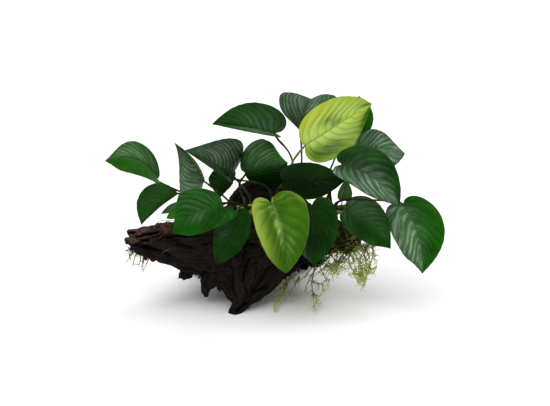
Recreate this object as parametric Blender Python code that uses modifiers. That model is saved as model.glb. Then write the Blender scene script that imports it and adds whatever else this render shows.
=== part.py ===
"""Anubias on driftwood: a leafy water plant whose rhizome has grown onto a gnarled piece of dark wood.

Lengths are in millimetres until the finished meshes are scaled to metres. The plant and the wood are
laid out as seen from the front and 20 degrees above: a place is given as (across, up, depth), where
across and up are measured square to that line of sight and depth is the real distance behind the
middle of the object. A leaf runs from the end of its stalk (its base) to its tip.
"""

import math

import bmesh
import bpy
import numpy as np
from mathutils import Matrix, Vector, noise

OBJECT_NAME = "anubias_on_driftwood"
MM = 0.001

# The line of sight that the layout is given along
SIGHT_TILT = math.radians(20)
SIGHT_DISTANCE = 1300.0
SIGHT_HEIGHT = 97.0

# The middle of the whole object's footprint in the layout, which becomes the origin
MIDDLE = Vector((1.8, 16.7, 0.0))

# Driving dimensions
BLADE_THICKNESS = 0.8
STALK_RADIUS = 1.15
STALK_NECK_RADIUS = 0.85
RHIZOME_RADIUS = 5.0
NECK_LENGTH = 7.0
NECK_DROP = 0.5
NECK_SHARE = 0.7
STALK_FIRST_RUN = 3.5
RHIZOME_TIP_RADIUS = 2.25
RHIZOME_TAPER_START = 0.7
ROOT_RADIUS = 0.8
ROOT_TIP_RADIUS = 0.32
GAP = 0.35
BLADE_COLUMNS = 4
BLADE_ROWS = 8
WOOD_VOXEL = 3.2
WOOD_TRIANGLES = 1300
GRAIN_DEPTH = 3.0
GRAIN_LENGTH = 60.0
GRAIN_WIDTH = 9.0

# The rows of a blade up to this share of its length fan out from its base into the lobes
LOBE_ROWS_END = 0.22
# How fast the other rows' places move up the midrib, and how far rows bow toward the margin's own place
RIB_SPACING = 1.2
ROW_BOW = 1.3
# The share of the margin, from the stalk, that runs round the lobe to the widest place
LOBE_SHARE = 0.4
# How far back, at the least, the edge starts beside the stalk, so that no two rows cross at the base
LEAST_NOTCH = 0.03

# A pair gives a leaf's right half, with its tip up and its face to the viewer, and then its left half:
# their widths, upward folds in degrees, shares of the length where they are widest, fullness toward the
# tip and backward reach of the lobes. Turn is round the length, bend along it, in degrees.
LEAVES = {
    "far_left": dict(
        base=(-106.5, 22, 2), tip=(-153, 38, -35), halves=(16, 23), turn=27,
        folds=(7, 30), bend=40, sweep=0.13, widest=(0.50, 0.50),
        full=(0.31, 0.38), lobes=(0.04, -0.06), tint="green",
        stalk=[(-84, 10, 2), (-56, -2, 0)], start=(-36, -10)),
    "lower_left": dict(
        base=(-88, 9, -27), tip=(-120.5, -19.5, -38), halves=(19.5, 10.5), turn=1,
        folds=(-5, -80), bend=13, sweep=0.07, widest=(0.45, 0.39),
        full=(0.38, 0.31), lobes=(-0.03, -0.05), tint="dark",
        stalk=[(-80, 4, -23), (-60, -2, -24), (-46, -4, -23)], start=(-34, 50)),
    "upright_left": dict(
        base=(-64, 19, -22), tip=(-90.5, 54, -16), halves=(13.5, 23.5), turn=-9,
        folds=(72, 6), bend=-19, sweep=0.07, widest=(0.14, 0.10),
        full=(0.30, 0.15), lobes=(-0.01, 0.10), tint="dark",
        stalk=[(-49, 9, -22), (-38, -2, -24)], start=(-30, 75)),
    "upper_left": dict(
        base=(-43, 23.5, 8), tip=(-81, 47.5, -30), halves=(33, 16), turn=25,
        folds=(14, 49), bend=43, sweep=0.01, widest=(0.16, 0.25),
        full=(0.23, 0.35), lobes=(0.14, -0.06), tint="dark",
        stalk=[(-20, 19, 0), (-5, 15, -3)], start=(-2, -10)),
    "left_front": dict(
        base=(-49, -2.5, -52), tip=(-93, -27.5, -74), halves=(22, 18.5), turn=0,
        folds=(-9, -11), bend=15, sweep=0.10, widest=(0.42, 0.40),
        full=(0.24, 0.33), lobes=(0.07, 0.12), tint="green",
        stalk=[(-40, 2, -34)], start=(-23, 60)),
    "small_back": dict(
        base=(-42, 28, 22), tip=(-50, 3.5, 14), halves=(14, 8.5), turn=-10,
        folds=(-4, -5), bend=9, sweep=0.06, widest=(0.34, 0.30),
        full=(0.27, 0.25), lobes=(0.08, 0.11), tint="dark",
        stalk=[(-35, 21, 30), (-26, 11, 11)], start=(-21, -35)),
    "hanging_left": dict(
        base=(-35.5, -8.5, -46), tip=(-52.5, -55.5, -48), halves=(14, 17), turn=5,
        folds=(-8, -10), bend=16, sweep=-0.03, widest=(0.38, 0.29),
        full=(0.34, 0.35), lobes=(0.06, 0.10), tint="dark",
        stalk=[(-29, -2, -32)], start=(-16, 70)),
    "lime_heart": dict(
        base=(-2.5, -0.5, -64), tip=(10.5, -63, -70), halves=(21, 27.5), turn=3,
        folds=(-3, -3), bend=21, sweep=-0.05, widest=(0.27, 0.13),
        full=(0.42, 0.39), lobes=(0.09, 0.11), tint="lime",
        stalk=[(1, 6, -42)], start=(3, 60)),
    "right_of_heart": dict(
        base=(32.5, -2.5, -48), tip=(35.5, -56, -54), halves=(22.5, 23.5), turn=-6,
        folds=(-10, -7), bend=18, sweep=0.00, widest=(0.31, 0.30),
        full=(0.34, 0.36), lobes=(0.12, 0.11), tint="dark",
        stalk=[(31, -4, -32)], start=(27, 60)),
    "right_low": dict(
        base=(64, -6, -26), tip=(104, -41, -44), halves=(18.5, 24), turn=-17,
        folds=(26, -5), bend=24, sweep=-0.01, widest=(0.43, 0.33),
        full=(0.30, 0.34), lobes=(0.00, 0.09), tint="dark",
        stalk=[(54, -5, -27)], start=(46, 85)),
    "far_right": dict(
        base=(115, -1, -18), tip=(132.5, -63.5, -34), halves=(22, 25), turn=3,
        folds=(-8, 6), bend=25, sweep=-0.09, widest=(0.37, 0.36),
        full=(0.31, 0.35), lobes=(0.03, 0.06), tint="green",
        stalk=[(96, 2, -22), (76, 3.5, -31), (61, 3, -30)], start=(54, 30)),
    "right_big": dict(
        base=(60, 34.5, -28), tip=(111.5, -3.5, -46), halves=(18, 26.5), turn=-28,
        folds=(3, 4), bend=44, sweep=-0.07, widest=(0.39, 0.28),
        full=(0.32, 0.40), lobes=(0.04, 0.12), tint="dark",
        stalk=[(54, 31, -18), (49, 18, -5)], start=(50, 20)),
    "right_back": dict(
        base=(72, 44.5, 24), tip=(117, 44.5, 8), halves=(21.5, 19.5), turn=-21,
        folds=(-4, -1), bend=40, sweep=-0.07, widest=(0.41, 0.32),
        full=(0.42, 0.22), lobes=(0.08, 0.09), tint="dark",
        stalk=[(56, 26, 6)], start=(46, -25)),
    "lime_top": dict(
        base=(27, 51.5, -6), tip=(87, 89.5, 10), halves=(24.5, 23.5), turn=-1,
        folds=(-3, 2), bend=15, sweep=0.00, widest=(0.32, 0.42),
        full=(0.33, 0.41), lobes=(0.04, -0.02), tint="lime",
        stalk=[(20, 43, -6), (13, 34, -4)], start=(9, 0)),
    "top_middle": dict(
        base=(24, 66, 30), tip=(32.5, 93.5, 90), halves=(34, 27.5), turn=-9,
        folds=(31, 28), bend=45, sweep=-0.02, widest=(0.30, 0.32),
        full=(0.33, 0.28), lobes=(0.06, -0.05), tint="dark",
        stalk=[(24, 50, 14), (24, 30, 2)], start=(22, -15)),
    "behind_lime": dict(
        base=(62, 58, 44), tip=(75.5, 96.5, 50), halves=(20, 12.5), turn=8,
        folds=(-13, -6), bend=12, sweep=0.04, widest=(0.45, 0.37),
        full=(0.39, 0.32), lobes=(0.09, 0.08), tint="green",
        stalk=[(50, 30, 16)], start=(37, -30)),
    "top_left": dict(
        base=(0.5, 62.5, 12), tip=(-56.5, 71, -6), halves=(23.5, 18), turn=31,
        folds=(26, 41), bend=38, sweep=-0.02, widest=(0.30, 0.35),
        full=(0.35, 0.32), lobes=(0.12, 0.00), tint="dark",
        stalk=[(10, 50, 8), (18, 36, 0)], start=(16, -10)),
    "centre_folded": dict(
        base=(-27.5, 27.5, 11), tip=(11.5, 36.5, -16), halves=(26, 26), turn=-9,
        folds=(-48, -11), bend=33, sweep=-0.02, widest=(0.39, 0.45),
        full=(0.38, 0.26), lobes=(0.06, 0.14), tint="green",
        stalk=[(-34, 17, 12), (-28, 5, -4)], start=(-25, 25)),
    "centre_dark": dict(
        base=(9, 19, -26), tip=(64, 20.5, -22), halves=(16, 18), turn=-10,
        folds=(-12, -6), bend=30, sweep=0.02, widest=(0.36, 0.35),
        full=(0.30, 0.34), lobes=(0.06, 0.06), tint="dark",
        stalk=[(2, 10, -22)], start=(-4, 25)),
    "young_leaf": dict(
        base=(61, 3, -9), tip=(64, 22, -6), halves=(8.5, 8.5), turn=10,
        folds=(42, 42), bend=10, sweep=0.0, widest=(0.30, 0.30),
        full=(0.30, 0.30), lobes=(0.0, 0.0), tint="green",
        stalk=None),
    "side_shoot": dict(
        base=(-86, -1, -8), tip=(-103, -10, -10), halves=(3.5, 3.5), turn=20,
        folds=(10, 0), bend=10, sweep=0.0, widest=(0.36, 0.36),
        full=(0.30, 0.30), lobes=(0.0, 0.0), tint="green",
        stalk=[(-74, -5, -12), (-58, -9.5, -19), (-46, -9.5, -22)], start=(-38, 75)),
    "side_bud": dict(
        base=(-87, -8, -30), tip=(-98, -14, -34), halves=(4, 4), turn=10,
        folds=(10, 0), bend=10, sweep=0.0, widest=(0.36, 0.36),
        full=(0.30, 0.30), lobes=(0.0, 0.0), tint="green",
        stalk=[(-74, -10, -28), (-56, -13, -26), (-42, -12.5, -24.5)], start=(-34, 85)),
}

# The creeping stem, from its old end to its growing tip
RHIZOME = [(-42, -9, -9), (-24, -6, -14), (0, -7, -12), (24, -6, -15), (46, -7, -14), (62, -5, -13),
           (70, -1, -13)]

# The wood's limbs in real x, y, z, each place with the limb's half thickness there
LIMBS = {
    "trunk": [(-37.5, -24, -4, 5.5), (-36, -19, 9, 9), (-36, -10, 24, 14), (-30, 2, 38, 22),
              (-18, 18, 56, 33), (-6, 26, 72, 30), (4, 30, 84, 20)],
    "keel": [(-34, -22, 7, 7), (-16, -8, 18, 9), (4, 4, 32, 10)],
    "belly": [(-54, -6, 31, 14), (-32, -2, 32, 16)],
    "hump": [(-42, 22, 74, 9), (-24, 28, 86, 17), (-8, 30, 92, 17), (14, 28, 90, 16)],
    "shelf": [(-46, -4, 76, 12), (-12, -8, 78, 14), (24, -8, 77, 13), (52, -6, 72, 11)],
    "left": [(-20, 18, 58, 30), (-50, 12, 52, 28), (-77, 6, 52, 23), (-95, 3, 57, 19), (-113, 0, 61, 14),
             (-130, -2, 63, 8)],
    "left_claw": [(-112, -2, 56, 8), (-130, -5, 56, 3.2), (-133, -6, 50, 1.8)],
    "left_spur": [(-76, 4, 44, 13), (-86, 3, 24, 2.5)],
    "foot_spur": [(-50, 0, 36, 18), (-58, -2, 24, 10), (-65, -3, 12, 2.5)],
    "buttress": [(-30, -2, 24, 15), (0, 18, 33, 17), (24, 30, 38, 14), (44, 24, 42, 12)],
    "right": [(0, 24, 68, 28), (30, 14, 64, 21), (58, 6, 61, 14), (76, 0, 59, 9)],
    "rear_left": [(-35, 42, 56, 25), (-58, 62, 30, 17), (-80, 82, -6, 11)],
    "rear_right": [(2, 42, 56, 25), (14, 70, 30, 16), (28, 98, -6, 10)],
}

# Cuts at the forks: a place on the plane, the way to the limb that is cut off, and its name
FORKS = [
    ("driftwood_right_limb", (34, 12, 64), (1.0, -0.2, -0.05)),
    ("driftwood_left_limb", (-68, 8, 55), (-0.85, -0.5, 0.15)),
    ("driftwood_rear_right_foot", (15, 70, 28), (0.5, 0.5, -0.72)),
    ("driftwood_rear_left_foot", (-56, 60, 30), (-0.45, 0.5, -0.74)),
    ("driftwood_front_foot", (-37, -20, 9), (0.12, -0.2, -0.97)),
]

# Root tufts: a runner along the wood, and strands that hang from it, in (across, up, depth)
ROOTS = {
    "roots_left": [
        [(-131, -41, -4), (-126, -42, -3), (-120, -45, -3), (-113, -49, -3)],
        [(-126, -42, -3), (-131, -48, -5), (-136, -54, -6)],
        [(-120, -45, -3), (-121, -51, -5), (-122, -56, -6)],
        [(-113, -49, -3), (-115, -55, -5), (-117, -60, -6)],
    ],
    "roots_front": [
        [(22, -58, 20), (10, -72, 8), (3, -84, -8), (0, -97, -27)],
        [(10, -72, 8), (2, -78, 4), (-4, -77, 2)],
    ],
    "roots_middle": [
        [(37, -53, 16), (33, -70, 0), (34, -82, -12), (35, -95, -24)],
        [(33, -70, 0), (42, -73, -4), (48, -69, -6)],
        [(34, -82, -12), (40, -84, -14), (45, -77, -14)],
    ],
    "roots_right": [
        [(50, -42, -7), (57, -41, -7), (67, -40, -8), (78, -38, -8), (87, -36, -8)],
        [(57, -41, -7), (54, -54, -11), (46, -62, -12)],
        [(67, -40, -8), (68, -56, -12), (80, -70, -13)],
        [(78, -38, -8), (82, -54, -13), (81, -72, -16)],
        [(87, -36, -8), (88, -48, -11), (84, -62, -13)],
    ],
}

COLOURS = {
    "dark": (0.012, 0.060, 0.012),
    "green": (0.025, 0.120, 0.015),
    "lime": (0.300, 0.480, 0.040),
    "stalk": (0.045, 0.075, 0.015),
    "rhizome": (0.090, 0.140, 0.020),
    "wood": (0.022, 0.014, 0.011),
    "root": (0.230, 0.260, 0.060),
}


def place(across, up, depth):
    """The real place of a point that is seen at across and up and lies at that depth."""
    sine, cosine = math.sin(SIGHT_TILT), math.cos(SIGHT_TILT)
    toward = (up * sine - depth) / (cosine + up * sine / SIGHT_DISTANCE)
    shrink = 1 - toward / SIGHT_DISTANCE
    z = SIGHT_HEIGHT + up * shrink * cosine + toward * sine
    return Vector((across * shrink, depth, z))


def toward_viewer():
    return Vector((0, -math.cos(SIGHT_TILT), math.sin(SIGHT_TILT)))


def material(name):
    made = bpy.data.materials.new(name)
    made.use_nodes = True
    shader = made.node_tree.nodes["Principled BSDF"]
    shader.inputs["Base Color"].default_value = (*COLOURS[name], 1)
    shader.inputs["Roughness"].default_value = 0.85 if name in ("wood", "root") else 0.35
    shader.inputs["Metallic"].default_value = 0
    made.diffuse_color = (*COLOURS[name], 1)
    return made


def bezier(points, t):
    a, b, c, d = (np.array(p)[:, None] for p in points)
    return (1 - t) ** 3 * a + 3 * (1 - t) ** 2 * t * b + 3 * (1 - t) * t**2 * c + t**3 * d


def margin(t, lobe, widest, full):
    """The leaf's edge, from beside the stalk round the lobe to the tip, for t from 0 to 1."""
    beside_stalk = (-0.6 * max(lobe, LEAST_NOTCH), 0.1)
    lobe_part = bezier([beside_stalk, (-1.6 * lobe - 0.04, 0.4), (-1.1 * lobe, 1.0), (widest, 1.0)],
                       np.clip(t / LOBE_SHARE, 0, 1))
    tip_part = bezier([(widest, 1.0), (widest + full, 1.0), (0.54 + full, 0.3), (1.0, 0.0)],
                      np.clip((t - LOBE_SHARE) / (1 - LOBE_SHARE), 0, 1))
    return np.where(t < LOBE_SHARE, lobe_part, tip_part)


def leaf_frame(leaf):
    """Where a leaf's base is, the way to its tip and the way that its face looks."""
    base, tip = place(*leaf["base"]), place(*leaf["tip"])
    axis = (tip - base).normalized()
    facing = toward_viewer()
    facing = (facing - axis * facing.dot(axis)).normalized()
    turn = math.radians(leaf["turn"])
    return base, axis, facing * math.cos(turn) + axis.cross(facing) * math.sin(turn)


def leaf_surface(leaf, u, t):
    """Places on a leaf. u is -1 to 1 from its left to its right edge, t is 0 at the base, 1 at the tip."""
    base, axis, normal = leaf_frame(leaf)
    side = axis.cross(normal)
    reach = (place(*leaf["tip"]) - base).length

    right = u > 0
    outlines = zip(leaf["lobes"], leaf["widest"], leaf["full"])
    edge = np.where(right, *(margin(t, *outline) for outline in outlines))
    rib = np.clip((t - LOBE_ROWS_END) / (1 - LOBE_ROWS_END), 0, 1) ** RIB_SPACING
    spread = np.abs(u)
    along = rib + (edge[0] - rib) * spread**ROW_BOW
    across = edge[1] * spread * np.where(right, *leaf["halves"])
    fold = np.radians(np.where(right, *leaf["folds"]))
    sideways = np.where(right, 1, -1) * across * np.cos(fold)
    raised = across * np.sin(fold)

    bend = math.radians(leaf["bend"])
    length = reach * bend / (2 * math.sin(bend / 2))
    slope = bend / 2 - bend * along
    forward = length * (math.sin(bend / 2) - np.sin(slope)) / bend
    lifted = length * (np.cos(slope) - math.cos(bend / 2)) / bend
    forward = forward - raised * np.sin(slope)
    lifted = lifted + raised * np.cos(slope)
    sideways = sideways + 4 * along * (1 - along) * leaf["sweep"] * length
    frame = np.array([axis, side, normal])
    return np.array(base) + np.stack([forward, sideways, lifted], axis=-1) @ frame


def new_object(name, mesh, tint, collection):
    made = bpy.data.objects.new(name, mesh)
    collection.objects.link(made)
    made.data.materials.clear()
    made.data.materials.append(bpy.data.materials[tint])
    return made


def leaf_blade(name, leaf, collection):
    """A grid laid on the leaf's surface, its base and tip rows drawn together, given a thickness."""
    grid = bmesh.new()
    bmesh.ops.create_grid(grid, x_segments=BLADE_COLUMNS, y_segments=BLADE_ROWS, size=0.5)
    flat = np.array([v.co for v in grid.verts])
    places = leaf_surface(leaf, 2 * flat[:, 0], flat[:, 1] + 0.5)
    for vertex, where in zip(grid.verts, places):
        vertex.co = Vector(where) * MM
    bmesh.ops.remove_doubles(grid, verts=grid.verts, dist=0.05 * MM)
    mesh = bpy.data.meshes.new(name)
    grid.to_mesh(mesh)
    grid.free()
    mesh.shade_smooth()
    blade = new_object(name, mesh, leaf["tint"], collection)
    shell = blade.modifiers.new("thickness", "SOLIDIFY")
    shell.thickness = BLADE_THICKNESS * MM
    shell.offset = 0
    return blade


def smooth_path(points, per_span):
    """Places on a smooth curve through the given ones."""
    ends = [points[0] * 2 - points[1], *points, points[-1] * 2 - points[-2]]
    path = []
    for a, b, c, d in zip(ends, ends[1:], ends[2:], ends[3:]):
        span = (c - b).length
        leaving = (c - a) * (span / (span + (b - a).length))
        arriving = (d - b) * (span / (span + (d - c).length))
        for step in range(per_span):
            s = step / per_span
            path.append(b + (c - b) * (3 - 2 * s) * s * s + leaving * s * (1 - s) ** 2
                        - arriving * (1 - s) * s * s)
    path.append(points[-1])
    return path


def tube(name, path, radii, tint, collection, sides=1):
    """A capped tube along a path, with a radius at each place."""
    curve = bpy.data.curves.new(name, "CURVE")
    curve.dimensions = "3D"
    curve.bevel_depth = MM
    curve.bevel_resolution = sides
    curve.use_fill_caps = True
    spline = curve.splines.new("POLY")
    spline.points.add(len(path) - 1)
    for point, where, radius in zip(spline.points, path, radii):
        point.co = (*(where * MM), 1)
        point.radius = radius
    made = bpy.data.objects.new(name, curve)
    collection.objects.link(made)
    return as_mesh(made, tint, collection)


def as_mesh(made, tint, collection):
    """The same object as a mesh, with its caps joined on."""
    name = made.name
    bpy.context.view_layer.update()
    evaluated = made.evaluated_get(bpy.context.evaluated_depsgraph_get())
    mesh = bpy.data.meshes.new_from_object(evaluated)
    bpy.data.objects.remove(made)
    shape = bmesh.new()
    shape.from_mesh(mesh)
    bmesh.ops.remove_doubles(shape, verts=shape.verts, dist=0.01 * MM)
    bmesh.ops.recalc_face_normals(shape, faces=shape.faces)
    shape.to_mesh(mesh)
    shape.free()
    mesh.name = name
    return new_object(name, mesh, tint, collection)


def leaf_stalk(name, leaf, collection):
    """The stalk, out of the rhizome's skin at an angle round it, and up to the back of the blade."""
    base, axis, normal = leaf_frame(leaf)
    droop = math.radians(max(0, -min(leaf["folds"])))
    end = base - normal * (STALK_NECK_RADIUS + BLADE_THICKNESS / 2 + GAP) / math.cos(droop)
    across, angle = leaf["start"]
    root = min(smooth_path([place(*p) for p in RHIZOME], 8), key=lambda where: abs(where.x - across))
    way_out = Vector((0, -math.sin(math.radians(angle)), math.cos(math.radians(angle))))
    start = root + way_out * (RHIZOME_RADIUS + 3 * GAP)
    between = [place(*p) for p in reversed(leaf["stalk"])]
    way_back = (between[-1] - end).normalized()
    neck = end + (way_back * NECK_SHARE - axis * (1 - NECK_SHARE) - normal * NECK_DROP) * NECK_LENGTH
    path = smooth_path([start, start + way_out * STALK_FIRST_RUN, *between, neck, end], 2)
    count = len(path) - 1
    radii = [STALK_RADIUS + (STALK_NECK_RADIUS - STALK_RADIUS) * i / count for i in range(count + 1)]
    return tube(name, path, radii, "stalk", collection)


def joined(objects, name, collection):
    """One object from several, united so that they're one closed body."""
    first = objects[0]
    for other in objects[1:]:
        union = first.modifiers.new("union", "BOOLEAN")
        union.operation = "UNION"
        union.solver = "EXACT"
        union.object = other
    bpy.context.view_layer.update()
    mesh = bpy.data.meshes.new_from_object(first.evaluated_get(bpy.context.evaluated_depsgraph_get()))
    tint = first.data.materials[0].name
    for one in objects:
        bpy.data.objects.remove(one)
    mesh.name = name
    return new_object(name, mesh, tint, collection)


def swollen(path, radii, extra):
    """A path and its radii, longer at both ends and wider by the same amount, for a groove round it."""
    first = path[0] + (path[0] - path[1]).normalized() * extra
    last = path[-1] + (path[-1] - path[-2]).normalized() * extra
    return [first, *path[1:-1], last], [radius + extra for radius in radii]


def rhizome(name, collection, extra=0.0):
    """The creeping stem, thinner toward its growing end."""
    path = smooth_path([place(*p) for p in RHIZOME], 2)
    shares = [max(0, i / (len(path) - 1) - RHIZOME_TAPER_START) / (1 - RHIZOME_TAPER_START)
              for i in range(len(path))]
    radii = [RHIZOME_RADIUS + (RHIZOME_TIP_RADIUS - RHIZOME_RADIUS) * share for share in shares]
    return tube(name, *swollen(path, radii, extra), "rhizome", collection, sides=2)


def root_strand(name, strand, collection, extra=0.0):
    path = smooth_path([place(*p) for p in strand], 3)
    count = len(path) - 1
    radii = [ROOT_RADIUS + (ROOT_TIP_RADIUS - ROOT_RADIUS) * i / count for i in range(count + 1)]
    return tube(name, *swollen(path, radii, extra), "root", collection, sides=0)


def root_tuft(name, strands, collection):
    """A runner root and the strands that hang from it."""
    pieces = [root_strand(f"{name}_{index}", strand, collection) for index, strand in enumerate(strands)]
    return joined(pieces, name, collection)


def grain_height(where):
    """The height of the wood's lengthwise ridges at a place, from -1 to 1."""
    total = weight = 0.0
    for index, limb in enumerate(LIMBS.values()):
        for a, b in zip(limb, limb[1:]):
            start, end = Vector(a[:3]), Vector(b[:3])
            run = end - start
            s = min(max((where - start).dot(run) / run.length_squared, 0), 1)
            off = where - start.lerp(end, s)
            closeness = 1 / (0.05 + (off.length / (a[3] + (b[3] - a[3]) * s)) ** 6)
            along = run.normalized() * (where - start).dot(run.normalized())
            across = where - start - along
            sample = along / GRAIN_LENGTH + across / GRAIN_WIDTH + Vector((7 * index, 0, 3 * index))
            total += closeness * noise.noise(sample)
            weight += closeness
    return total / weight


def driftwood_body(collection, cutters):
    """The limbs grown together into one skin, with ridges along the grain and grooves for the roots."""
    together = bmesh.new()
    for name, limb in LIMBS.items():
        path = smooth_path([Vector(p[:3]) for p in limb], 4)
        sizes = smooth_path([Vector((p[3], 0, 0)) for p in limb], 4)
        grown = tube(name, path, [max(s.x, 1.0) for s in sizes], "wood", collection, sides=4)
        together.from_mesh(grown.data)
        bpy.data.objects.remove(grown)
    limbs = bpy.data.meshes.new("driftwood")
    together.to_mesh(limbs)
    together.free()
    body = new_object("driftwood", limbs, "wood", collection)
    skin = body.modifiers.new("skin", "REMESH")
    skin.mode = "VOXEL"
    skin.voxel_size = WOOD_VOXEL * MM
    bpy.context.view_layer.update()
    mesh = bpy.data.meshes.new_from_object(body.evaluated_get(bpy.context.evaluated_depsgraph_get()))
    for vertex in mesh.vertices:
        where = vertex.co / MM
        vertex.co += vertex.normal * grain_height(where) * GRAIN_DEPTH * 2 * MM
    body.modifiers.clear()
    body.data = mesh
    fewer = body.modifiers.new("fewer", "DECIMATE")
    fewer.ratio = WOOD_TRIANGLES / (2 * len(mesh.polygons))
    for cutter in cutters:
        groove = body.modifiers.new("groove", "BOOLEAN")
        groove.operation = "DIFFERENCE"
        groove.solver = "EXACT"
        groove.object = cutter
    bpy.context.view_layer.update()
    body.data = bpy.data.meshes.new_from_object(body.evaluated_get(bpy.context.evaluated_depsgraph_get()))
    body.modifiers.clear()
    return body


def cut(shape, where, way, keep_far):
    """Cuts a mesh at a plane, keeps one side of it and closes the cut."""
    way = Vector(way).normalized()
    bmesh.ops.bisect_plane(shape, geom=[*shape.verts, *shape.edges, *shape.faces], dist=0.001 * MM,
                           plane_co=Vector(where) * MM, plane_no=way,
                           clear_inner=keep_far, clear_outer=not keep_far)
    rim = [edge for edge in shape.edges if edge.is_boundary]
    bmesh.ops.holes_fill(shape, edges=rim)
    flat = [face for face in shape.faces if len(face.verts) > 4]
    bmesh.ops.triangulate(shape, faces=flat)


def driftwood(collection, cutters):
    """The wood, standing on its cut feet and split at its forks."""
    body = driftwood_body(collection, cutters)
    rest = bmesh.new()
    rest.from_mesh(body.data)
    bpy.data.objects.remove(body)
    cut(rest, (0, 0, 0), (0, 0, 1), True)
    for name, where, way in FORKS:
        limb = rest.copy()
        half = Vector(way).normalized() * GAP / 2
        cut(limb, Vector(where) + half, way, True)
        cut(rest, Vector(where) - half, way, False)
        solid(name, limb, collection)
    solid("driftwood_trunk", rest, collection)


def solid(name, shape, collection):
    bmesh.ops.recalc_face_normals(shape, faces=shape.faces)
    mesh = bpy.data.meshes.new(name)
    shape.to_mesh(mesh)
    shape.free()
    return new_object(name, mesh, "wood", collection)


def main():
    for old in list(bpy.data.objects):
        bpy.data.objects.remove(old)
    collection = bpy.data.collections.new(OBJECT_NAME)
    bpy.context.scene.collection.children.link(collection)
    for name in COLOURS:
        material(name)
    grooves = bpy.data.collections.new("cutters")
    bpy.context.scene.collection.children.link(grooves)
    cutters = [rhizome("groove_rhizome", grooves, GAP)]
    for tuft in ROOTS.values():
        cutters += [root_strand("groove_root", strand, grooves, GAP) for strand in tuft]
    for cutter in cutters:
        cutter.hide_render = True
        cutter.display_type = "WIRE"
    driftwood(collection, cutters)
    rhizome("rhizome", collection)
    for name, leaf in LEAVES.items():
        leaf_blade(f"leaf_{name}", leaf, collection)
        if leaf["stalk"]:
            leaf_stalk(f"stalk_{name}", leaf, collection)
    for name, strands in ROOTS.items():
        root_tuft(name, strands, collection)
    for one in [*collection.objects, *cutters]:
        one.data.transform(Matrix.Translation(-MIDDLE * MM))


main()
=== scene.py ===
"""The looks of an anubias on driftwood: glossy heart-shaped leaves, a ringed rhizome, dark grained wood
and fine hanging roots.

Lengths are in millimetres until each finished mesh is scaled to metres. The plant and the wood are laid
out as seen from the front and 20 degrees above: a place is given as (across, up, depth), where across
and up are measured square to that line of sight and depth is the real distance behind the middle.
"""

import math

import bpy
import numpy as np
from mathutils import Matrix, Vector


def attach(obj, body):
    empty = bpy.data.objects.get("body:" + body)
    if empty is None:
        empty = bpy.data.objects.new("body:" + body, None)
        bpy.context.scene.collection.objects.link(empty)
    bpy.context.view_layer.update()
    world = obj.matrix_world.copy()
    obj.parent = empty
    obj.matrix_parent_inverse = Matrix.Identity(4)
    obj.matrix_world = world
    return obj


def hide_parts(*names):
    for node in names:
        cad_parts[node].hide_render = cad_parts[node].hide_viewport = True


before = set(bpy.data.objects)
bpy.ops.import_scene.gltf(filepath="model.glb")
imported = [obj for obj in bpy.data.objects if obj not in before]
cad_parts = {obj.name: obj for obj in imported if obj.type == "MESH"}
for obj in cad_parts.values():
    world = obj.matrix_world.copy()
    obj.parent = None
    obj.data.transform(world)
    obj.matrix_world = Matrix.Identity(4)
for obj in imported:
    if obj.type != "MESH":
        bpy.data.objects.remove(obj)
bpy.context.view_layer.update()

MM = 0.001
# The distance within which a tube's doubled vertices are merged
TUBE_WELD = 0.001

# The line of sight that the layout is given along
SIGHT_TILT = math.radians(20)
SIGHT_DISTANCE = 1300
SIGHT_HEIGHT = 97
SINE, COSINE = math.sin(SIGHT_TILT), math.cos(SIGHT_TILT)

# The middle of the whole object's footprint in the layout, which is the origin of the finished part
MIDDLE = Vector((1.8, 16.7, 0))

# The photograph's width in pixels, the real width of a pixel at the middle, and the camera's sensor
PHOTO_WIDTH = 550
PIXEL = 0.9
SENSOR = 36

# Leaf blades. Reliefs are at their full depth on a blade of the full half width.
BLADE_THICKNESS = 0.7
BLADE_COLUMNS = 56
BLADE_ROWS = 80
COLUMN_SPACING = 1.2
BLADE_WELD = 0.02
SMALL_HALF_WIDTH = 10
FULL_HALF_WIDTH = 22
SIZE_LIMITS = (0.2, 1.1)
PLEAT_DEPTH = 0.55
MIDRIB_DEPTH = 0.6
MIDRIB_WIDTH = 1.3
MARGIN_WAVE = 1.1
MARGIN_POWER = 2.5
BROAD_WAVE = 0.6
SCALLOP_DEPTH = 0.005
NOTCH_DEPTH = 0.03
PATCH_LENGTH = 1.6

# Where the pleats begin and are full from the midrib, where and how far they ease off toward the edge, and
# the same from the base and toward the tip. Then their even share and the share that chance adds, from
# pleat to pleat and from area to area, and the least and most that an area has of them.
PLEAT_SPREAD, PLEAT_EDGE, PLEAT_EDGE_LOSS = (0.03, 0.3), (0.6, 1), 0.7
PLEAT_BASE, PLEAT_TIP = (0.02, 0.2), (0.82, 1)
PLEAT_STRENGTH, PLEAT_AREAS, PLEAT_AREA_LIMITS = (0.75, 0.5), (0.8, 0.9), (0.15, 1.4)
# The same from the base and toward the tip for the margin's notches and the midrib's groove, and from the
# base for the waves of the margin and of the whole blade
NOTCH_BASE, NOTCH_TIP = (0.05, 0.2), (0.85, 1)
GROOVE_BASE, GROOVE_TIP = (0, 0.1), (0.8, 1)
WAVE_BASE, BROAD_BASE = (0, 0.1), (0, 0.15)
# How many bumps of noise there are across and along half a blade
AREA_NOISE, BROAD_NOISE, MARGIN_NOISE, NOTCH_NOISE = (1.3, 2.2), (1.2, 2.4), 3.2, 6
# How far the noise is shifted: to each side for the halves' margins and for their pleats, and for areas
MARGIN_SHIFT, PLEAT_SHIFT, AREA_SHIFT = 5, 3, 4
# The step from one leaf's seed to the next one's
LEAF_SEED_STEP = 10

# The handles of the edge's two curves: beside the stalk, out of the notch, round the lobe and into the tip
STALK_SIDE = (-0.6, 0.1)
NOTCH_HANDLE = (-1.6, -0.04, 0.4)
LOBE_HANDLE = -1.1
TIP_HANDLE = (0.54, 0.3)
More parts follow.
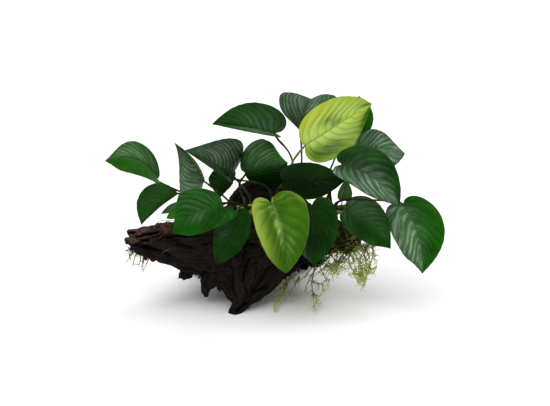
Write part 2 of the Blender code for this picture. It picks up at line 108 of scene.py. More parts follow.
# The rows of a blade up to this share of its length fan out from its base into the lobes
LOBE_ROWS_END = 0.22
# How fast the other rows' places move up the midrib, and how far rows bow toward the margin's own place
RIB_SPACING = 1.2
ROW_BOW = 1.3
# The share of the margin, from the stalk, that runs round the lobe to the widest place
LOBE_SHARE = 0.4
# How far back, at the least, the edge starts beside the stalk, so that no two rows cross at the base
LEAST_NOTCH = 0.03

# Veins: how many there are on a side and in a lobe, how far and from where they sweep toward the tip, how
# unevenly they lie, how far the two sides are out of step, and a count that keeps their numbers positive
VEIN_COUNT = 9
LOBE_VEINS = 2
FINE_VEINS = 4
VEIN_SWEEP = 0.2
VEIN_CURVE = 1.4
SWEEP_START = (0.05, 0.45)
VEIN_SPACING = 0.9
UNEVEN_ALONG = 0.035
UNEVEN_ACROSS = 0.014
WAVES_ALONG, WAVES_ACROSS, WAVE_SHIFT = 1.3, 9, 0.37
OUT_OF_STEP = 0.25
FIRST_VEIN = 40

# Stalks, from the sheath at the rhizome to the neck at the blade, and the midribs that they run into
STALK_RADIUS = 1
STALK_NECK_RADIUS = 0.85
STALK_SHEATH_RADIUS = 2
YOUNG_STALK_RADIUS = 0.51
STALK_STEPS = 8
STALK_SIDES = 3
STALK_FIRST_RUN = 4.55
STALK_EASING = 30
SHEATH_LENGTH = 9
NECK_SWELLING = 0.28
NECK_SWELLING_PLACE = 9
NECK_SWELLING_LENGTH = 4
NECK_LENGTH = 7
NECK_DROP = 0.5
NECK_SHARE = 0.7
# Painted shade on a stalk near the rhizome: its strength, and the run over which it fades
STALK_SHADE = 0.85
STALK_SHADE_RUN = (14, 40)
RIB_RADII = (0.68, 0.2)
RIB_RUN = (0.26, 0.96)
RIB_STEPS = 12
RIB_SINK = 0.75

# Rhizome
RHIZOME_RADIUS = 5
RHIZOME_TIP_RADIUS = 2.25
RHIZOME_TAPER_START = 0.7
RHIZOME_STEPS = 24
RHIZOME_SIDES = 6
RHIZOME_END, RHIZOME_END_STEPS = 0.25, 4
RHIZOME_ROOT = 0.6
SCARS = 19
SCAR_WIDTH = 0.35
SCAR_RADII = (0.86, 0.16)

# Wood: the cells of its skin, a limb's least radius, and how far a foot runs on below the floor
WOOD_VOXEL = 1
LIMB_TIP = 1
LIMB_STEPS = 6
LIMB_SIDES = 8
LIMB_ROW_STEP = 10
FOOT_RUN = 12
# The grain: its length and width, how far it is shifted from limb to limb, and how one limb's blends into
# the next one's
GRAIN_LENGTH = 60
GRAIN_WIDTH = 9
GRAIN_SHIFT = 3.7
LIMB_SHIFT = 11.3
BLEND_CORE, BLEND_POWER = 0.05, 6
# The relief of the grain, and how much of it counts as ridge
BROAD_RELIEF, RIDGE_RELIEF, FIBRE_RELIEF, SPLIT_RELIEF = 2.2, 1.6, 1, 3.2
RIDGE_FINENESS, FIBRE_FINENESS, SPLIT_FINENESS = (2.1, 2.1, 1.6), (5.2, 5.2, 3), (1.15, 1.15, 0.8)
RIDGE_SHARE, SPLIT_WIDTH = 0.16, 0.11
# Ripples, and knots on the faces that look down, as far as the right limb
RIPPLE, RIPPLE_LENGTH, RIPPLE_SEED = 1.2, 6.5, 41
KNOT, KNOT_LENGTH, KNOT_SEED, KNOT_LEVEL = 9, 4.2, 42, 0.38
KNOT_SLOPE, KNOTS_END = (-0.1, 0.6), (40, 60)
# Where the relief eases off toward the thin left end, and the share of it that is left there
THIN_END = (116, 128)
THIN_RELIEF = 0.25
# The worn plank's splits: the slope that they show on, how far their depth shows as shade and how much of
# their half width is at full depth. Then where the wood is worn.
SPLIT_SLOPE, SPLIT_SHADE, SPLIT_FLOOR = (0, 0.3), 0.28, 0.2
WORN_START, WORN_SLOPE, WORN_FADE = (84, 104), (-0.3, 0.3), (-1.5, 2.5)
# Moss along the right limb and round one spot at the left
MOSS_START, MOSSINESS = (40, 70), 0.8
MOSS_SPOT, MOSS_SIZE = (-113, -48, -2), (3, 9)

# Roots, the fine hairs on them, and the rootlets that cling to the wood
ROOT_SEED = 7
ROOT_RADII = (0.8, 0.32)
ROOT_THICKNESS = (0.7, 1)
ROOT_CROOK = 0.18
ROOT_STEPS = 6
HAIR_STEP = 1.4
HAIR_RADII = (0.26, 0.5)
HAIR_TAPER = 0.4
HAIR_TURNS = (0.4, 1)
HAIR_WANDER = 0.3
HAIR_SAG = (0, 0, -0.16)
HAIR_LEAST_STEPS = 4
HAIR_START_SPREAD = 0.7
HAIR_WAY_SPREAD = 0.45
CLING_RADII = (0.4, 0.2)
CLING_STEPS = 5
# The depths between which the wood's front is looked for
SIGHT_REACH = (-90, 60)
# How brown a main root is from its start to its tip, and how far that reaches
STOUT_SHARES = (0.8, 0.1)
STOUT_REACH = (1, 2)
FLOOR_GAP = 1

# Stage
FLOOR_SIZE = 12
FLOOR_ROUGHNESS = 0.85
FLOOR_WHITE = (0.86, 0.86, 0.86)
ROOM_LIGHT = 0.4
# Each light's kind, place, power, and its width in metres or its angle
LIGHTS = {
    "key": ("SUN", (-0.4518, -0.6167, 1.697), 2.7, {"angle": math.radians(65)}),
    "top": ("AREA", (0.35, 0.5, 1.1), 5, {"size": 0.7}),
    "fill": ("AREA", (1.1, -0.6, 0.5), 2, {"size": 0.6}),
}

# Base, tip and the places that a stalk passes are (across, up, depth). A pair gives the leaf's right half,
# with its tip up and its face to the viewer, and then its left half: half widths, upward folds, shares of
# the length where they are widest, fullness toward the tip and backward reach of the lobes. Turn is round
# the length, bend along it, and sweep to one side. A stalk starts at an across on the rhizome, at an angle.
# Angles are in degrees.
LEAF_VALUES = ("base", "tip", "halves", "turn", "folds", "bend", "sweep", "widest", "full", "lobes", "tint",
               "start", "stalk")
LEAF_ROWS = {
    "far_left": ((-106.5, 22, 2), (-153, 38, -35), (16, 23), 27, (7, 30), 40, 0.13, (0.5, 0.5),
        (0.31, 0.38), (0.04, -0.06), "green", (-36, -10), [(-84, 10, 2), (-56, -2, 0)]),
    "lower_left": ((-88, 9, -27), (-120.5, -19.5, -38), (19.5, 10.5), 1, (-5, -80), 13, 0.07, (0.45, 0.39),
        (0.38, 0.31), (-0.03, -0.05), "dark", (-34, 50), [(-80, 4, -23), (-60, -2, -24), (-46, -4, -23)]),
    "upright_left": ((-64, 19, -22), (-90.5, 54, -16), (13.5, 23.5), -9, (72, 6), -19, 0.07, (0.14, 0.1),
        (0.3, 0.15), (-0.01, 0.1), "dark", (-30, 75), [(-49, 9, -22), (-38, -2, -24)]),
    "upper_left": ((-43, 23.5, 8), (-81, 47.5, -30), (33, 16), 25, (14, 49), 43, 0.01, (0.16, 0.25),
        (0.23, 0.35), (0.14, -0.06), "dark", (-2, -10), [(-20, 19, 0), (-5, 15, -3)]),
    "left_front": ((-49, -2.5, -52), (-93, -27.5, -74), (22, 18.5), 0, (-9, -11), 15, 0.1, (0.42, 0.4),
        (0.24, 0.33), (0.07, 0.12), "green", (-23, 60), [(-40, 2, -34)]),
    "small_back": ((-42, 28, 22), (-50, 3.5, 14), (14, 8.5), -10, (-4, -5), 9, 0.06, (0.34, 0.3),
        (0.27, 0.25), (0.08, 0.11), "dark", (-21, -35), [(-35, 21, 30), (-26, 11, 11)]),
    "hanging_left": ((-35.5, -8.5, -46), (-52.5, -55.5, -48), (14, 17), 5, (-8, -10), 16, -0.03,
        (0.38, 0.29), (0.34, 0.35), (0.06, 0.1), "dark", (-16, 70), [(-29, -2, -32)]),
    "lime_heart": ((-2.5, -0.5, -64), (10.5, -63, -70), (21, 27.5), 3, (-3, -3), 21, -0.05, (0.27, 0.13),
        (0.42, 0.39), (0.09, 0.11), "lime", (3, 60), [(1, 6, -42)]),
    "right_of_heart": ((32.5, -2.5, -48), (35.5, -56, -54), (22.5, 23.5), -6, (-10, -7), 18, 0,
        (0.31, 0.3), (0.34, 0.36), (0.12, 0.11), "dark", (27, 60), [(31, -4, -32)]),
    "right_low": ((64, -6, -26), (104, -41, -44), (18.5, 24), -17, (26, -5), 24, -0.01, (0.43, 0.33),
        (0.3, 0.34), (0, 0.09), "dark", (46, 85), [(54, -5, -27)]),
    "far_right": ((115, -1, -18), (132.5, -63.5, -34), (22, 25), 3, (-8, 6), 25, -0.09, (0.37, 0.36),
        (0.31, 0.35), (0.03, 0.06), "green", (54, 30), [(96, 2, -22), (76, 3.5, -31), (61, 3, -30)]),
    "right_big": ((60, 34.5, -28), (111.5, -3.5, -46), (18, 26.5), -28, (3, 4), 44, -0.07, (0.39, 0.28),
        (0.32, 0.4), (0.04, 0.12), "dark", (50, 20), [(54, 31, -18), (49, 18, -5)]),
    "right_back": ((72, 44.5, 24), (117, 44.5, 8), (21.5, 19.5), -21, (-4, -1), 40, -0.07, (0.41, 0.32),
        (0.42, 0.22), (0.08, 0.09), "dark", (46, -25), [(56, 26, 6)]),
    "lime_top": ((27, 51.5, -6), (87, 89.5, 10), (24.5, 23.5), -1, (-3, 2), 15, 0, (0.32, 0.42),
        (0.33, 0.41), (0.04, -0.02), "lime", (9, 0), [(20, 43, -6), (13, 34, -4)]),
    "top_middle": ((24, 66, 30), (32.5, 93.5, 90), (34, 27.5), -9, (31, 28), 45, -0.02, (0.3, 0.32),
        (0.33, 0.28), (0.06, -0.05), "dark", (22, -15), [(24, 50, 14), (24, 30, 2)]),
    "behind_lime": ((62, 58, 44), (75.5, 96.5, 50), (20, 12.5), 8, (-13, -6), 12, 0.04, (0.45, 0.37),
        (0.39, 0.32), (0.09, 0.08), "green", (37, -30), [(50, 30, 16)]),
    "top_left": ((0.5, 62.5, 12), (-56.5, 71, -6), (23.5, 18), 31, (26, 41), 38, -0.02, (0.3, 0.35),
        (0.35, 0.32), (0.12, 0), "dark", (16, -10), [(10, 50, 8), (18, 36, 0)]),
    "centre_folded": ((-27.5, 27.5, 11), (11.5, 36.5, -16), (26, 26), -9, (-48, -11), 33, -0.02,
        (0.39, 0.45), (0.38, 0.26), (0.06, 0.14), "green", (-25, 25), [(-34, 17, 12), (-28, 5, -4)]),
    "centre_dark": ((9, 19, -26), (64, 20.5, -22), (16, 18), -10, (-12, -6), 30, 0.02, (0.36, 0.35),
        (0.3, 0.34), (0.06, 0.06), "dark", (-4, 25), [(2, 10, -22)]),
    "young_leaf": ((61, 3, -9), (64, 22, -6), (8.5, 8.5), 10, (42, 42), 10, 0, (0.3, 0.3), (0.3, 0.3),
        (0, 0), "green", None, None),
    "side_shoot": ((-86, -1, -8), (-103, -10, -10), (3.5, 3.5), 20, (10, 0), 10, 0, (0.36, 0.36),
        (0.3, 0.3), (0, 0), "green", (-38, 75), [(-74, -5, -12), (-58, -9.5, -19), (-46, -9.5, -22)]),
    "side_bud": ((-87, -8, -30), (-98, -14, -34), (4, 4), 10, (10, 0), 10, 0, (0.36, 0.36), (0.3, 0.3),
        (0, 0), "green", (-34, 85), [(-74, -10, -28), (-56, -13, -26), (-42, -12.5, -24.5)]),
}
LEAVES = {name: dict(zip(LEAF_VALUES, row)) for name, row in LEAF_ROWS.items()}

# Leaves whose veins run more lengthwise than the others', and those that are pleated more deeply
SWEEPS = {"upper_left": 0.8, "top_middle": 0.5, "upright_left": 0.7, "centre_folded": 0.4}
DEEP_PLEATS = {"lime_top": 1.9, "lime_heart": 2.2, "far_right": 1.3, "right_low": 1.2}
# Leaves with a lobe that is drawn out to the right: how far across and up, and over what distance
DRAWN_LOBES = {"left_front": (5.6, 1.8, 3.6)}

# Soft patches on the blades: across from -1 to 1, along from 0 to 1, size and strength
TONES = {
    "far_left": [(0.3, 0.6, 0.6, 0.5), (-0.5, 0.5, 0.5, 0.1)],
    "left_front": [(0.2, 0.5, 0.6, 0.05)],
    "top_left": [(0, 0.5, 1.3, 0.22)],
    "upper_left": [(0.2, 0.6, 0.9, 0.2)],
    "lime_heart": [(1, 0.1, 0.5, 0.4), (1, 0.5, 0.35, 0.45), (0.1, 0.5, 0.12, 0.3), (-0.5, 0.1, 0.3, 0.1),
                   (-1, 0.3, 0.12, 0.25)],
    "lime_top": [(0, 0.45, 1.4, 0.95), (0.55, 0.36, 0.3, -0.75), (0.6, 0.6, 0.45, -0.22),
                 (0.3, 0.35, 0.3, -0.15), (0.15, 0.12, 0.25, -0.5), (-0.38, 0.53, 0.15, -0.7),
                 (-0.16, 0.63, 0.13, -0.7), (1, 0.85, 0.3, -0.8), (-0.5, 1, 0.25, -0.8)],
    "centre_folded": [(-0.8, 0.12, 0.4, 0.8), (-0.5, 0.5, 0.5, 0.3)],
    "upright_left": [(0.7, 0.5, 0.6, 0.9), (-0.7, 0.5, 0.5, 0.3)],
    "right_low": [(-0.5, 0.35, 0.55, 0.55)],
    "right_back": [(0, 0.5, 1, 0.3)],
    "lower_left": [(0.4, 0.5, 0.8, 0.35)],
    "side_shoot": [(0, 0.5, 1, 0.5)],
    "side_bud": [(0, 0.5, 1, 0.9)],
    "young_leaf": [(0, 0.5, 0.9, 1), (0.3, 0.4, 0.8, 0.5)],
    "small_back": [(0, 0.3, 0.8, 0.3)],
}
# Patches of painted sheen: a silvery colour painted on as the reflection of the light, which also gives the
# coat its gloss there
PAINTED_SHEENS = {
    "far_left": [(0.6, 0.75, 0.45, 0.65), (0.5, 0.5, 0.45, 0.35)],
    "lower_left": [(-0.95, 0.6, 0.4, 0.8)],
    "side_shoot": [(0, 0.5, 1, 0.5)],
    "young_leaf": [(0.2, 0.5, 0.8, 0.8)],
    "upright_left": [(-0.5, 0.45, 0.8, 1.2), (0, 0.15, 0.5, 1)],
    "upper_left": [(0.35, 0.6, 0.75, 0.95), (0.8, 0.3, 0.4, 0.6)],
    "left_front": [(0.5, 0.4, 0.6, 0.14), (-0.2, 0.62, 0.25, 0.4), (-0.6, 0.2, 0.3, 0.15)],
    "hanging_left": [(0.45, 0.45, 0.35, 0.2)],
    "right_of_heart": [(0.9, 0.65, 0.3, 0.7)],
    "lime_heart": [(0.08, 0.52, 0.12, 0.8), (0.12, 0.66, 0.12, 0.7), (0.1, 0.3, 0.14, 0.4),
                   (0.75, 0.3, 0.25, 0.3), (-0.3, 0.7, 0.2, 0.3)],
    "lime_top": [(-0.25, 0.3, 0.4, 0.9), (0.2, 0.55, 0.4, 0.7), (0.7, 0.6, 0.3, 0.5),
                 (-0.5, 0.75, 0.3, 0.5)],
    "centre_dark": [(0.3, 0.8, 0.3, 0.25)],
    "right_low": [(0.5, 0.05, 0.35, 0.6), (-0.5, 0.3, 0.45, 0.5)],
    "far_right": [(0.6, 0.4, 0.65, 1.2), (0.4, 0.8, 0.35, 0.8)],
    "right_big": [(0.1, 0.85, 0.45, 1.2), (0.7, 0.6, 0.4, 1), (0.9, 0.15, 0.4, 0.8),
                  (-0.2, 0.4, 0.4, 0.2)],
    "right_back": [(-0.3, 0.55, 0.9, 1.1), (0.6, 0.8, 0.5, 0.6)],
    "top_middle": [(-0.5, 0.6, 0.8, 0.6), (0.5, 0.7, 0.6, 0.5)],
    "top_left": [(0.2, 0.3, 0.6, 0.25), (-0.5, 0.5, 0.5, 0.3)],
    "centre_folded": [(-0.5, 0.45, 0.5, 0.9), (0.3, 0.9, 0.4, 0.4)],
}
# Patches of painted shade, where a leaf lies in the shadow of others
PAINTED_SHADES = {
    "centre_dark": [(0, 0.5, 1.8, 1), (-0.6, 0.55, 0.35, -0.35)],
    "left_front": [(0, 0.3, 1.3, 0.32)],
    "right_of_heart": [(0, 0.5, 1.2, 0.5)],
    "small_back": [(0, 0.9, 0.6, 0.4)],
    "hanging_left": [(-0.5, 0.3, 0.8, 0.35)],
    "centre_folded": [(0.7, 0.5, 0.75, 0.9)],
    "right_low": [(0.3, 0.35, 0.45, 0.55)],
    "right_big": [(-0.3, 0.25, 0.5, 0.45), (-1, 0.6, 0.25, 0.6)],
    "top_middle": [(-0.2, 0.2, 0.7, 0.5)],
    "upper_left": [(-0.5, 0.3, 0.7, 0.5), (0.3, 0.1, 0.4, 0.4)],
    "lower_left": [(0.3, 0.2, 0.5, 0.3)],
}
YELLOWS = {
    "lime_top": [(-1, 0.12, 0.5, 0.9), (0.5, 0, 0.25, 0.5), (1, 0.1, 0.2, 0.3)],
    "lime_heart": [(1.1, 0.05, 0.35, 0.35), (1.1, 0.4, 0.2, 0.3)],
    "upright_left": [(1, 0.5, 0.4, 0.2)],
    "young_leaf": [(0, 0.6, 0.9, 0.16)],
}
SPOTS = {
    "far_right": [(-1, 0.36, 0.06, 0.8)],
    "left_front": [(0, 0.985, 0.05, 1)],
    "lime_heart": [(-1, 0.62, 0.06, 0.7)],
}
LEAF_LAYERS = {"tone": TONES, "painted_sheen": PAINTED_SHEENS, "painted_shade": PAINTED_SHADES, "yellow": YELLOWS, "spoilt": SPOTS}

# The creeping stem, from its old end to its growing tip
RHIZOME = [(-42, -9, -9), (-24, -6, -14), (0, -7, -12), (24, -6, -15), (46, -7, -14), (62, -5, -13),
           (70, -1, -13)]

# The wood's limbs in real x, y, z, each place with the limb's half thickness there
LIMBS = {
    "trunk": [(-37.5, -24, -4, 5.5), (-36, -19, 9, 9), (-36, -10, 24, 14), (-30, 2, 38, 22),
              (-18, 18, 56, 33), (-6, 26, 72, 30), (4, 30, 84, 20)],
    "keel": [(-34, -22, 7, 7), (-16, -8, 18, 9), (4, 4, 32, 10)],
    "belly": [(-54, -6, 31, 14), (-32, -2, 32, 16)],
    "hump": [(-42, 22, 74, 9), (-24, 28, 86, 17), (-8, 30, 92, 17), (14, 28, 90, 16)],
    "shelf": [(-46, -4, 76, 12), (-12, -8, 78, 14), (24, -8, 77, 13), (52, -6, 72, 11)],
    "left": [(-20, 18, 58, 30), (-50, 12, 52, 28), (-77, 6, 52, 23), (-95, 3, 57, 19), (-113, 0, 61, 14),
             (-130, -2, 63, 8)],
    "left_claw": [(-112, -2, 56, 8), (-130, -5, 56, 3.2), (-133, -6, 50, 1.8)],
    "left_spur": [(-76, 4, 44, 13), (-86, 3, 24, 2.5)],
    "foot_spur": [(-50, 0, 36, 18), (-58, -2, 24, 10), (-65, -3, 12, 2.5)],
    "buttress": [(-30, -2, 24, 15), (0, 18, 33, 17), (24, 30, 38, 14), (44, 24, 42, 12)],
    "right": [(0, 24, 68, 28), (30, 14, 64, 21), (58, 6, 61, 14), (76, 0, 59, 9)],
    "rear_left": [(-35, 42, 56, 25), (-58, 62, 30, 17), (-80, 82, -6, 11)],
    "rear_right": [(2, 42, 56, 25), (14, 70, 30, 16), (28, 98, -6, 10)],
}

# Limbs with finer ends: a slim ankle over the front foot, and at the torn left end a plank that runs to a
# point above a thin curled claw
FINE_LIMBS = {
    "trunk": [(-37, -24, -4, 5.8), (-36, -22.5, 2, 6.2), (-32.5, -19, 9, 7), (-33.5, -14, 17, 12.5),
              (-33, -8, 26, 16), *LIMBS["trunk"][3:]],
    "keel": [(-29, -20, 8, 6), (-16, -8, 18, 9), (4, 4, 32, 10)],
    "left": [*LIMBS["left"][:5], (-124, -2, 65, 9), (-129, -2, 68.5, 4.5), (-133.5, -3, 71, 1.6)],
    "left_claw": [(-112, -3, 57, 9), (-122, -4.5, 57, 7.8), (-128, -5.5, 60, 5), (-132, -6.5, 64.5, 2.2),
                  (-134.5, -7, 64.4, 1.5), (-134, -7, 59.5, 1.2)],
}

# The splits of the worn plank and the lips beside them: how far each is raised, then its places as
# (across, up, half width)
SPLITS = [
    (-3.4, [(-101.5, -25.2, 0.5), (-105.7, -26.4, 1.7), (-110, -27.4, 2.3), (-114.3, -28.6, 2.3),
            (-118.6, -29.4, 1.9), (-122.9, -30.3, 1.4), (-126.4, -31.2, 0.6)]),
    (-2.6, [(-124, -26, 0.5), (-128, -26.8, 1.5), (-133, -27.8, 1.9)]),
    (-2.2, [(-99.3, -26.5, 0.5), (-105.7, -29.8, 1.4), (-110, -31.3, 1.4), (-114.3, -32.8, 1.5),
            (-118.6, -34.6, 1.6), (-123.8, -36.8, 1.5), (-128.3, -38.8, 0.8)]),
    (-2.4, [(-106.8, -22.8, 1.5), (-104.4, -22, 1.5)]),
    (1, [(-99, -24, 1), (-104, -27.9, 1.3), (-109, -29.4, 1.1), (-114, -30.7, 0.9)]),
    (1.2, [(-107, -33, 0.9), (-111.7, -35, 1.4), (-118.6, -38, 1.4), (-125.6, -40.2, 0.9)]),
]

# The lower edge of the worn wood at the left end, as (across, up)
WORN_EDGE = [(-134, -43), (-120, -38), (-99, -29), (-84, -24)]

# Root tufts: a runner along the wood, strands that hang from it and strands that cross between the tufts
ROOTS = {
    "roots_left": [
        [(-131, -41, -4), (-126, -42, -3), (-120, -45, -3), (-113, -49, -3)],
        [(-126, -42, -3), (-131, -48, -5), (-136, -54, -6)],
        [(-120, -45, -3), (-121, -51, -5), (-122, -56, -6)],
        [(-113, -49, -3), (-115, -55, -5), (-117, -60, -6)],
        [(-122, -43, -4), (-126, -49, -5), (-129, -57, -6)],
        [(-116, -47, -4), (-119, -54, -5), (-119, -60, -6)],
    ],
    "roots_front": [
        [(22, -58, 20), (10, -72, 8), (3, -84, -8), (0, -97, -27)],
        [(10, -72, 8), (2, -78, 4), (-4, -77, 2)],
        [(19, -64, 15), (11, -73, 7), (7, -82, -4), (-1, -91, -18), (1, -97, -26)],
        [(17, -66, 12), (8, -72, 8), (-3.6, -76.5, 4)],
        [(22, -66, 14), (18, -74, 8), (12, -85, -6)],
        [(35, -55, 15), (26, -65, 12), (19, -71, 8)],
        [(11, -73, 7), (5, -83, -5), (2, -88, -12)],
    ],
    "roots_middle": [
        [(37, -53, 16), (33, -70, 0), (34, -82, -12), (35, -95, -24)],
        [(33, -70, 0), (42, -73, -4), (48, -69, -6)],
        [(34, -82, -12), (40, -84, -14), (45, -77, -14)],
        [(40, -55, 14), (32, -68, 4), (28, -77, -6), (27, -80, -10)],
        [(33, -78, -8), (37, -86, -14), (35, -94, -22)],
        [(41, -59, 10), (46, -68, 2), (50, -69, 0)],
        [(58, -52, -6), (50, -56, 2), (44, -59, 8), (36, -64, 8)],
        [(64, -44, -6), (53, -54, -2), (40, -55, 12)],
    ],
    "roots_right": [
        [(50, -42, -7), (57, -41, -7), (67, -40, -8), (78, -38, -8), (87, -36, -8)],
        [(57, -41, -7), (54, -54, -11), (46, -62, -12)],
        [(67, -40, -8), (68, -56, -12), (80, -70, -13)],
        [(78, -38, -8), (82, -54, -13), (81, -72, -16)],
        [(87, -36, -8), (88, -48, -11), (84, -62, -13)],
        [(48, -43, -6), (56, -55, -8), (64, -60, -10)],
        [(50, -43, -6), (46, -53, -6), (51, -59, -8)],
        [(61, -46, -8), (56, -55, -9), (55, -63, -10)],
        [(66, -42, -8), (60, -52, -9), (52, -58, -8)],
        [(72, -40, -8), (70, -52, -11), (76, -66, -13)],
        [(84, -38, -8), (77, -50, -11), (79, -66, -14)],
        [(70, -40, -8), (76, -54, -12), (75, -70, -14)],
        [(80, -38, -8), (85, -50, -12), (80, -64, -14)],
    ],
}

# Dry rootlets that lie on top of the plank
STRAYS = {
    "roots_left": [
        [(-108, -19.5, 3), (-104, -16.5, 3), (-98, -15.5, 4), (-92, -18, 4)],
        [(-105, -19, 1), (-100, -18, 1), (-95, -15.5, 2), (-89, -17, 3)],
        [(-101, -19.5, 0), (-97, -17, 0), (-93, -17.5, 0), (-90, -20, 0)],
    ],
}

# Rootlets that cling to the front of the wood, as (across, up)
CLINGING = {
    "roots_left": [
        [(-102, -45), (-97, -42.5), (-93, -41), (-88, -41.5)],
    ],
    "roots_right": [
        [(61.5, -21), (64.8, -29.7), (63.5, -37.8), (61.5, -42)],
        [(57, -19.8), (67, -25.2), (71.6, -31), (73.8, -37.8)],
        [(55.8, -23), (57, -31), (52.4, -37.8), (50.2, -42.3)],
        [(52.4, -37.8), (59, -38.7), (67, -35.5), (71.6, -31)],
        [(67, -40), (72.5, -35.5), (78.3, -34.2)],
        [(49, -39.4), (58, -41.3), (69.3, -40.2)],
        [(60, -24), (56, -29), (50, -33), (46, -40)],
        [(72, -26), (69, -33), (72, -40)],
        [(54, -27), (60, -33), (66, -36), (69, -42)],
        [(64, -22), (58, -28), (61, -36), (58, -41)],
        [(78, -30), (70, -31), (63, -34), (56, -34)],
    ],
}

# For each tuft: how many hairs, their shortest and longest reach, the way that they set out, how much they
# curl, and the share that leaves the runner along the wood rather than the strands that hang from it
TUFTS = {
    "roots_left": (40, (4, 12), (-0.45, -0.2, -0.8), 0.5, 0.6),
    "roots_front": (60, (3, 12), (-0.3, -0.1, -0.8), 0.4, 0),
    "roots_middle": (80, (3, 12), (0, -0.1, -0.8), 0.45, 0),
    "roots_right": (360, (6, 20), (0.05, -0.15, -0.9), 0.6, 0.12),
}


def place(across, up, depth):
    """The real place of a point that is seen at across and up and lies at that depth."""
    toward = (up * SINE - depth) / (COSINE + up * SINE / SIGHT_DISTANCE)
    shrink = 1 - toward / SIGHT_DISTANCE
    z = SIGHT_HEIGHT + up * shrink * COSINE + toward * SINE
    return Vector((across * shrink, depth, z))


def seen(points):
    """Where points are seen from the front: across and up."""
    height = points[:, 2] - SIGHT_HEIGHT
    shrink = 1 - (height * SINE - points[:, 1] * COSINE) / SIGHT_DISTANCE
    return points[:, 0] / shrink, (points[:, 1] * SINE + height * COSINE) / shrink


def toward_viewer():
    return Vector((0, -COSINE, SINE))


def smooth_path(points, per_span):
    """Places on a smooth curve through the given ones."""
    ends = [points[0] * 2 - points[1], *points, points[-1] * 2 - points[-2]]
    path = []
    for a, b, c, d in zip(ends, ends[1:], ends[2:], ends[3:]):
        span = (c - b).length
        leaving = (c - a) * (span / (span + (b - a).length))
        arriving = (d - b) * (span / (span + (d - c).length))
        for step in range(per_span):
            s = step / per_span
            path.append(b + (c - b) * (3 - 2 * s) * s * s + leaving * s * (1 - s) ** 2
                        - arriving * (1 - s) * s * s)
    path.append(points[-1])
    return path


def path_through(spots, per_span):
    """A smooth curve through places that are given as (across, up, depth)."""
    return smooth_path([place(*spot) for spot in spots], per_span)


def ease(value, low, high):
    """A value's place from low to high, eased, from 0 to 1."""
    share = np.clip((value - low) / (high - low), 0, 1)
    return share * share * (3 - 2 * share)


def swell(value, rise, fall):
    """Rises from 0 to 1 over one span of a value, and falls back over the other."""
    return ease(value, *rise) * (1 - ease(value, *fall))


# Large odd numbers that scatter whole places evenly, and the bits that are kept
SCATTER = (73856093, 19349663, 83492791, 2654435761)
STIR = (2246822519, 3266489917)
LOW_BITS, FEW_BITS = 0xFFFFFFFF, 0xFFFF


def lattice_value(cells, seed):
    """A steady number from -1 to 1 for each whole place."""
    x, y, z = (cells[:, i].astype(np.int64) * SCATTER[i] for i in range(3))
    mixed = (x ^ y ^ z ^ (seed * SCATTER[3])) & LOW_BITS
    mixed = mixed * STIR[0] & LOW_BITS
    mixed = ((mixed ^ (mixed >> 15)) * STIR[1]) & LOW_BITS
    return 2 * ((mixed ^ (mixed >> 13)) & FEW_BITS) / FEW_BITS - 1


def soft_noise(places, seed):
    """Smooth noise from -1 to 1, with features about one unit long."""
    cells = np.floor(places)
    share = places - cells
    share = share * share * (3 - 2 * share)
    total = np.zeros(len(places))
    for corner in np.ndindex(2, 2, 2):
        weight = np.prod(np.where(corner, share, 1 - share), axis=1)
        total += weight * lattice_value(cells + corner, seed)
    return total


def noise_over(seed, *axes):
    """Smooth noise over places that are given as their three coordinates."""
    return soft_noise(np.stack(np.broadcast_arrays(*axes), 1), seed)


def vertex_values(layer, field):
    flat = np.empty(len(layer) * 3)
    layer.foreach_get(field, flat)
    return flat.reshape(-1, 3)


def coordinates(mesh):
    return vertex_values(mesh.vertices, "co")


def outward(mesh):
    """Each vertex's normal."""
    return vertex_values(mesh.vertex_normals, "vector")


def set_coordinates(mesh, places):
    mesh.vertices.foreach_set("co", np.asarray(places, dtype=np.float32).ravel())
    mesh.update()


def paint(mesh, name, values):
    """Keeps a number or a vector for each vertex, for the materials."""
    kind, field = ("FLOAT", "value") if values.ndim == 1 else ("FLOAT_VECTOR", "vector")
    layer = mesh.attributes.new(name, kind, "POINT")
    layer.data.foreach_set(field, values.astype(np.float32).ravel())


def pick(*pieces):
    """Selects these objects alone, the first as the active one."""
    bpy.ops.object.select_all(action="DESELECT")
    for piece in pieces:
        piece.select_set(True)
    bpy.context.view_layer.objects.active = pieces[0]


def edit_all(piece, *steps):
    """Runs mesh operators, each with its settings, on the whole of a piece."""
    pick(piece)
    bpy.ops.object.mode_set(mode="EDIT")
    bpy.ops.mesh.select_all(action="SELECT")
    for operator, settings in steps:
        operator(**settings)
    bpy.ops.object.mode_set(mode="OBJECT")


def merging(distance):
    """The step that merges vertices within a distance."""
    return bpy.ops.mesh.remove_doubles, {"threshold": distance}


def apply_modifier(piece, kind, **settings):
    pick(piece)
    modifier = piece.modifiers.new(kind.lower(), kind)
    for key, value in settings.items():
        setattr(modifier, key, value)
    bpy.ops.object.modifier_apply(modifier=modifier.name)


def joined(pieces, name):
    pick(*pieces)
    bpy.ops.object.join()
    made = bpy.context.object
    made.name = name
    made.data.name = name
    return made


def finish(piece, skin):
    """Gives a piece its smooth shading and its one material."""
    pick(piece)
    bpy.ops.object.shade_smooth()
    piece.data.materials.clear()
    piece.data.materials.append(skin)


def tubes(name, routes, sides, skin):
    """One piece of capped tubes, from (places, radii) for each, rounder with more sides."""
    curve = bpy.data.curves.new(name, "CURVE")
    curve.dimensions = "3D"
    curve.bevel_depth = 1
    curve.bevel_resolution = sides
    curve.use_fill_caps = True
    for path, radii in routes:
        spline = curve.splines.new("POLY")
        spline.points.add(len(path) - 1)
        for point, where, radius in zip(spline.points, path, radii):
            point.co = (*where, 1)
            point.radius = radius
    made = bpy.data.objects.new(name, curve)
    bpy.context.scene.collection.objects.link(made)
    pick(made)
    bpy.ops.object.convert(target="MESH")
    made = bpy.context.object
    edit_all(made, merging(TUBE_WELD), (bpy.ops.mesh.normals_make_consistent, {"inside": False}))
    finish(made, skin)
    return made


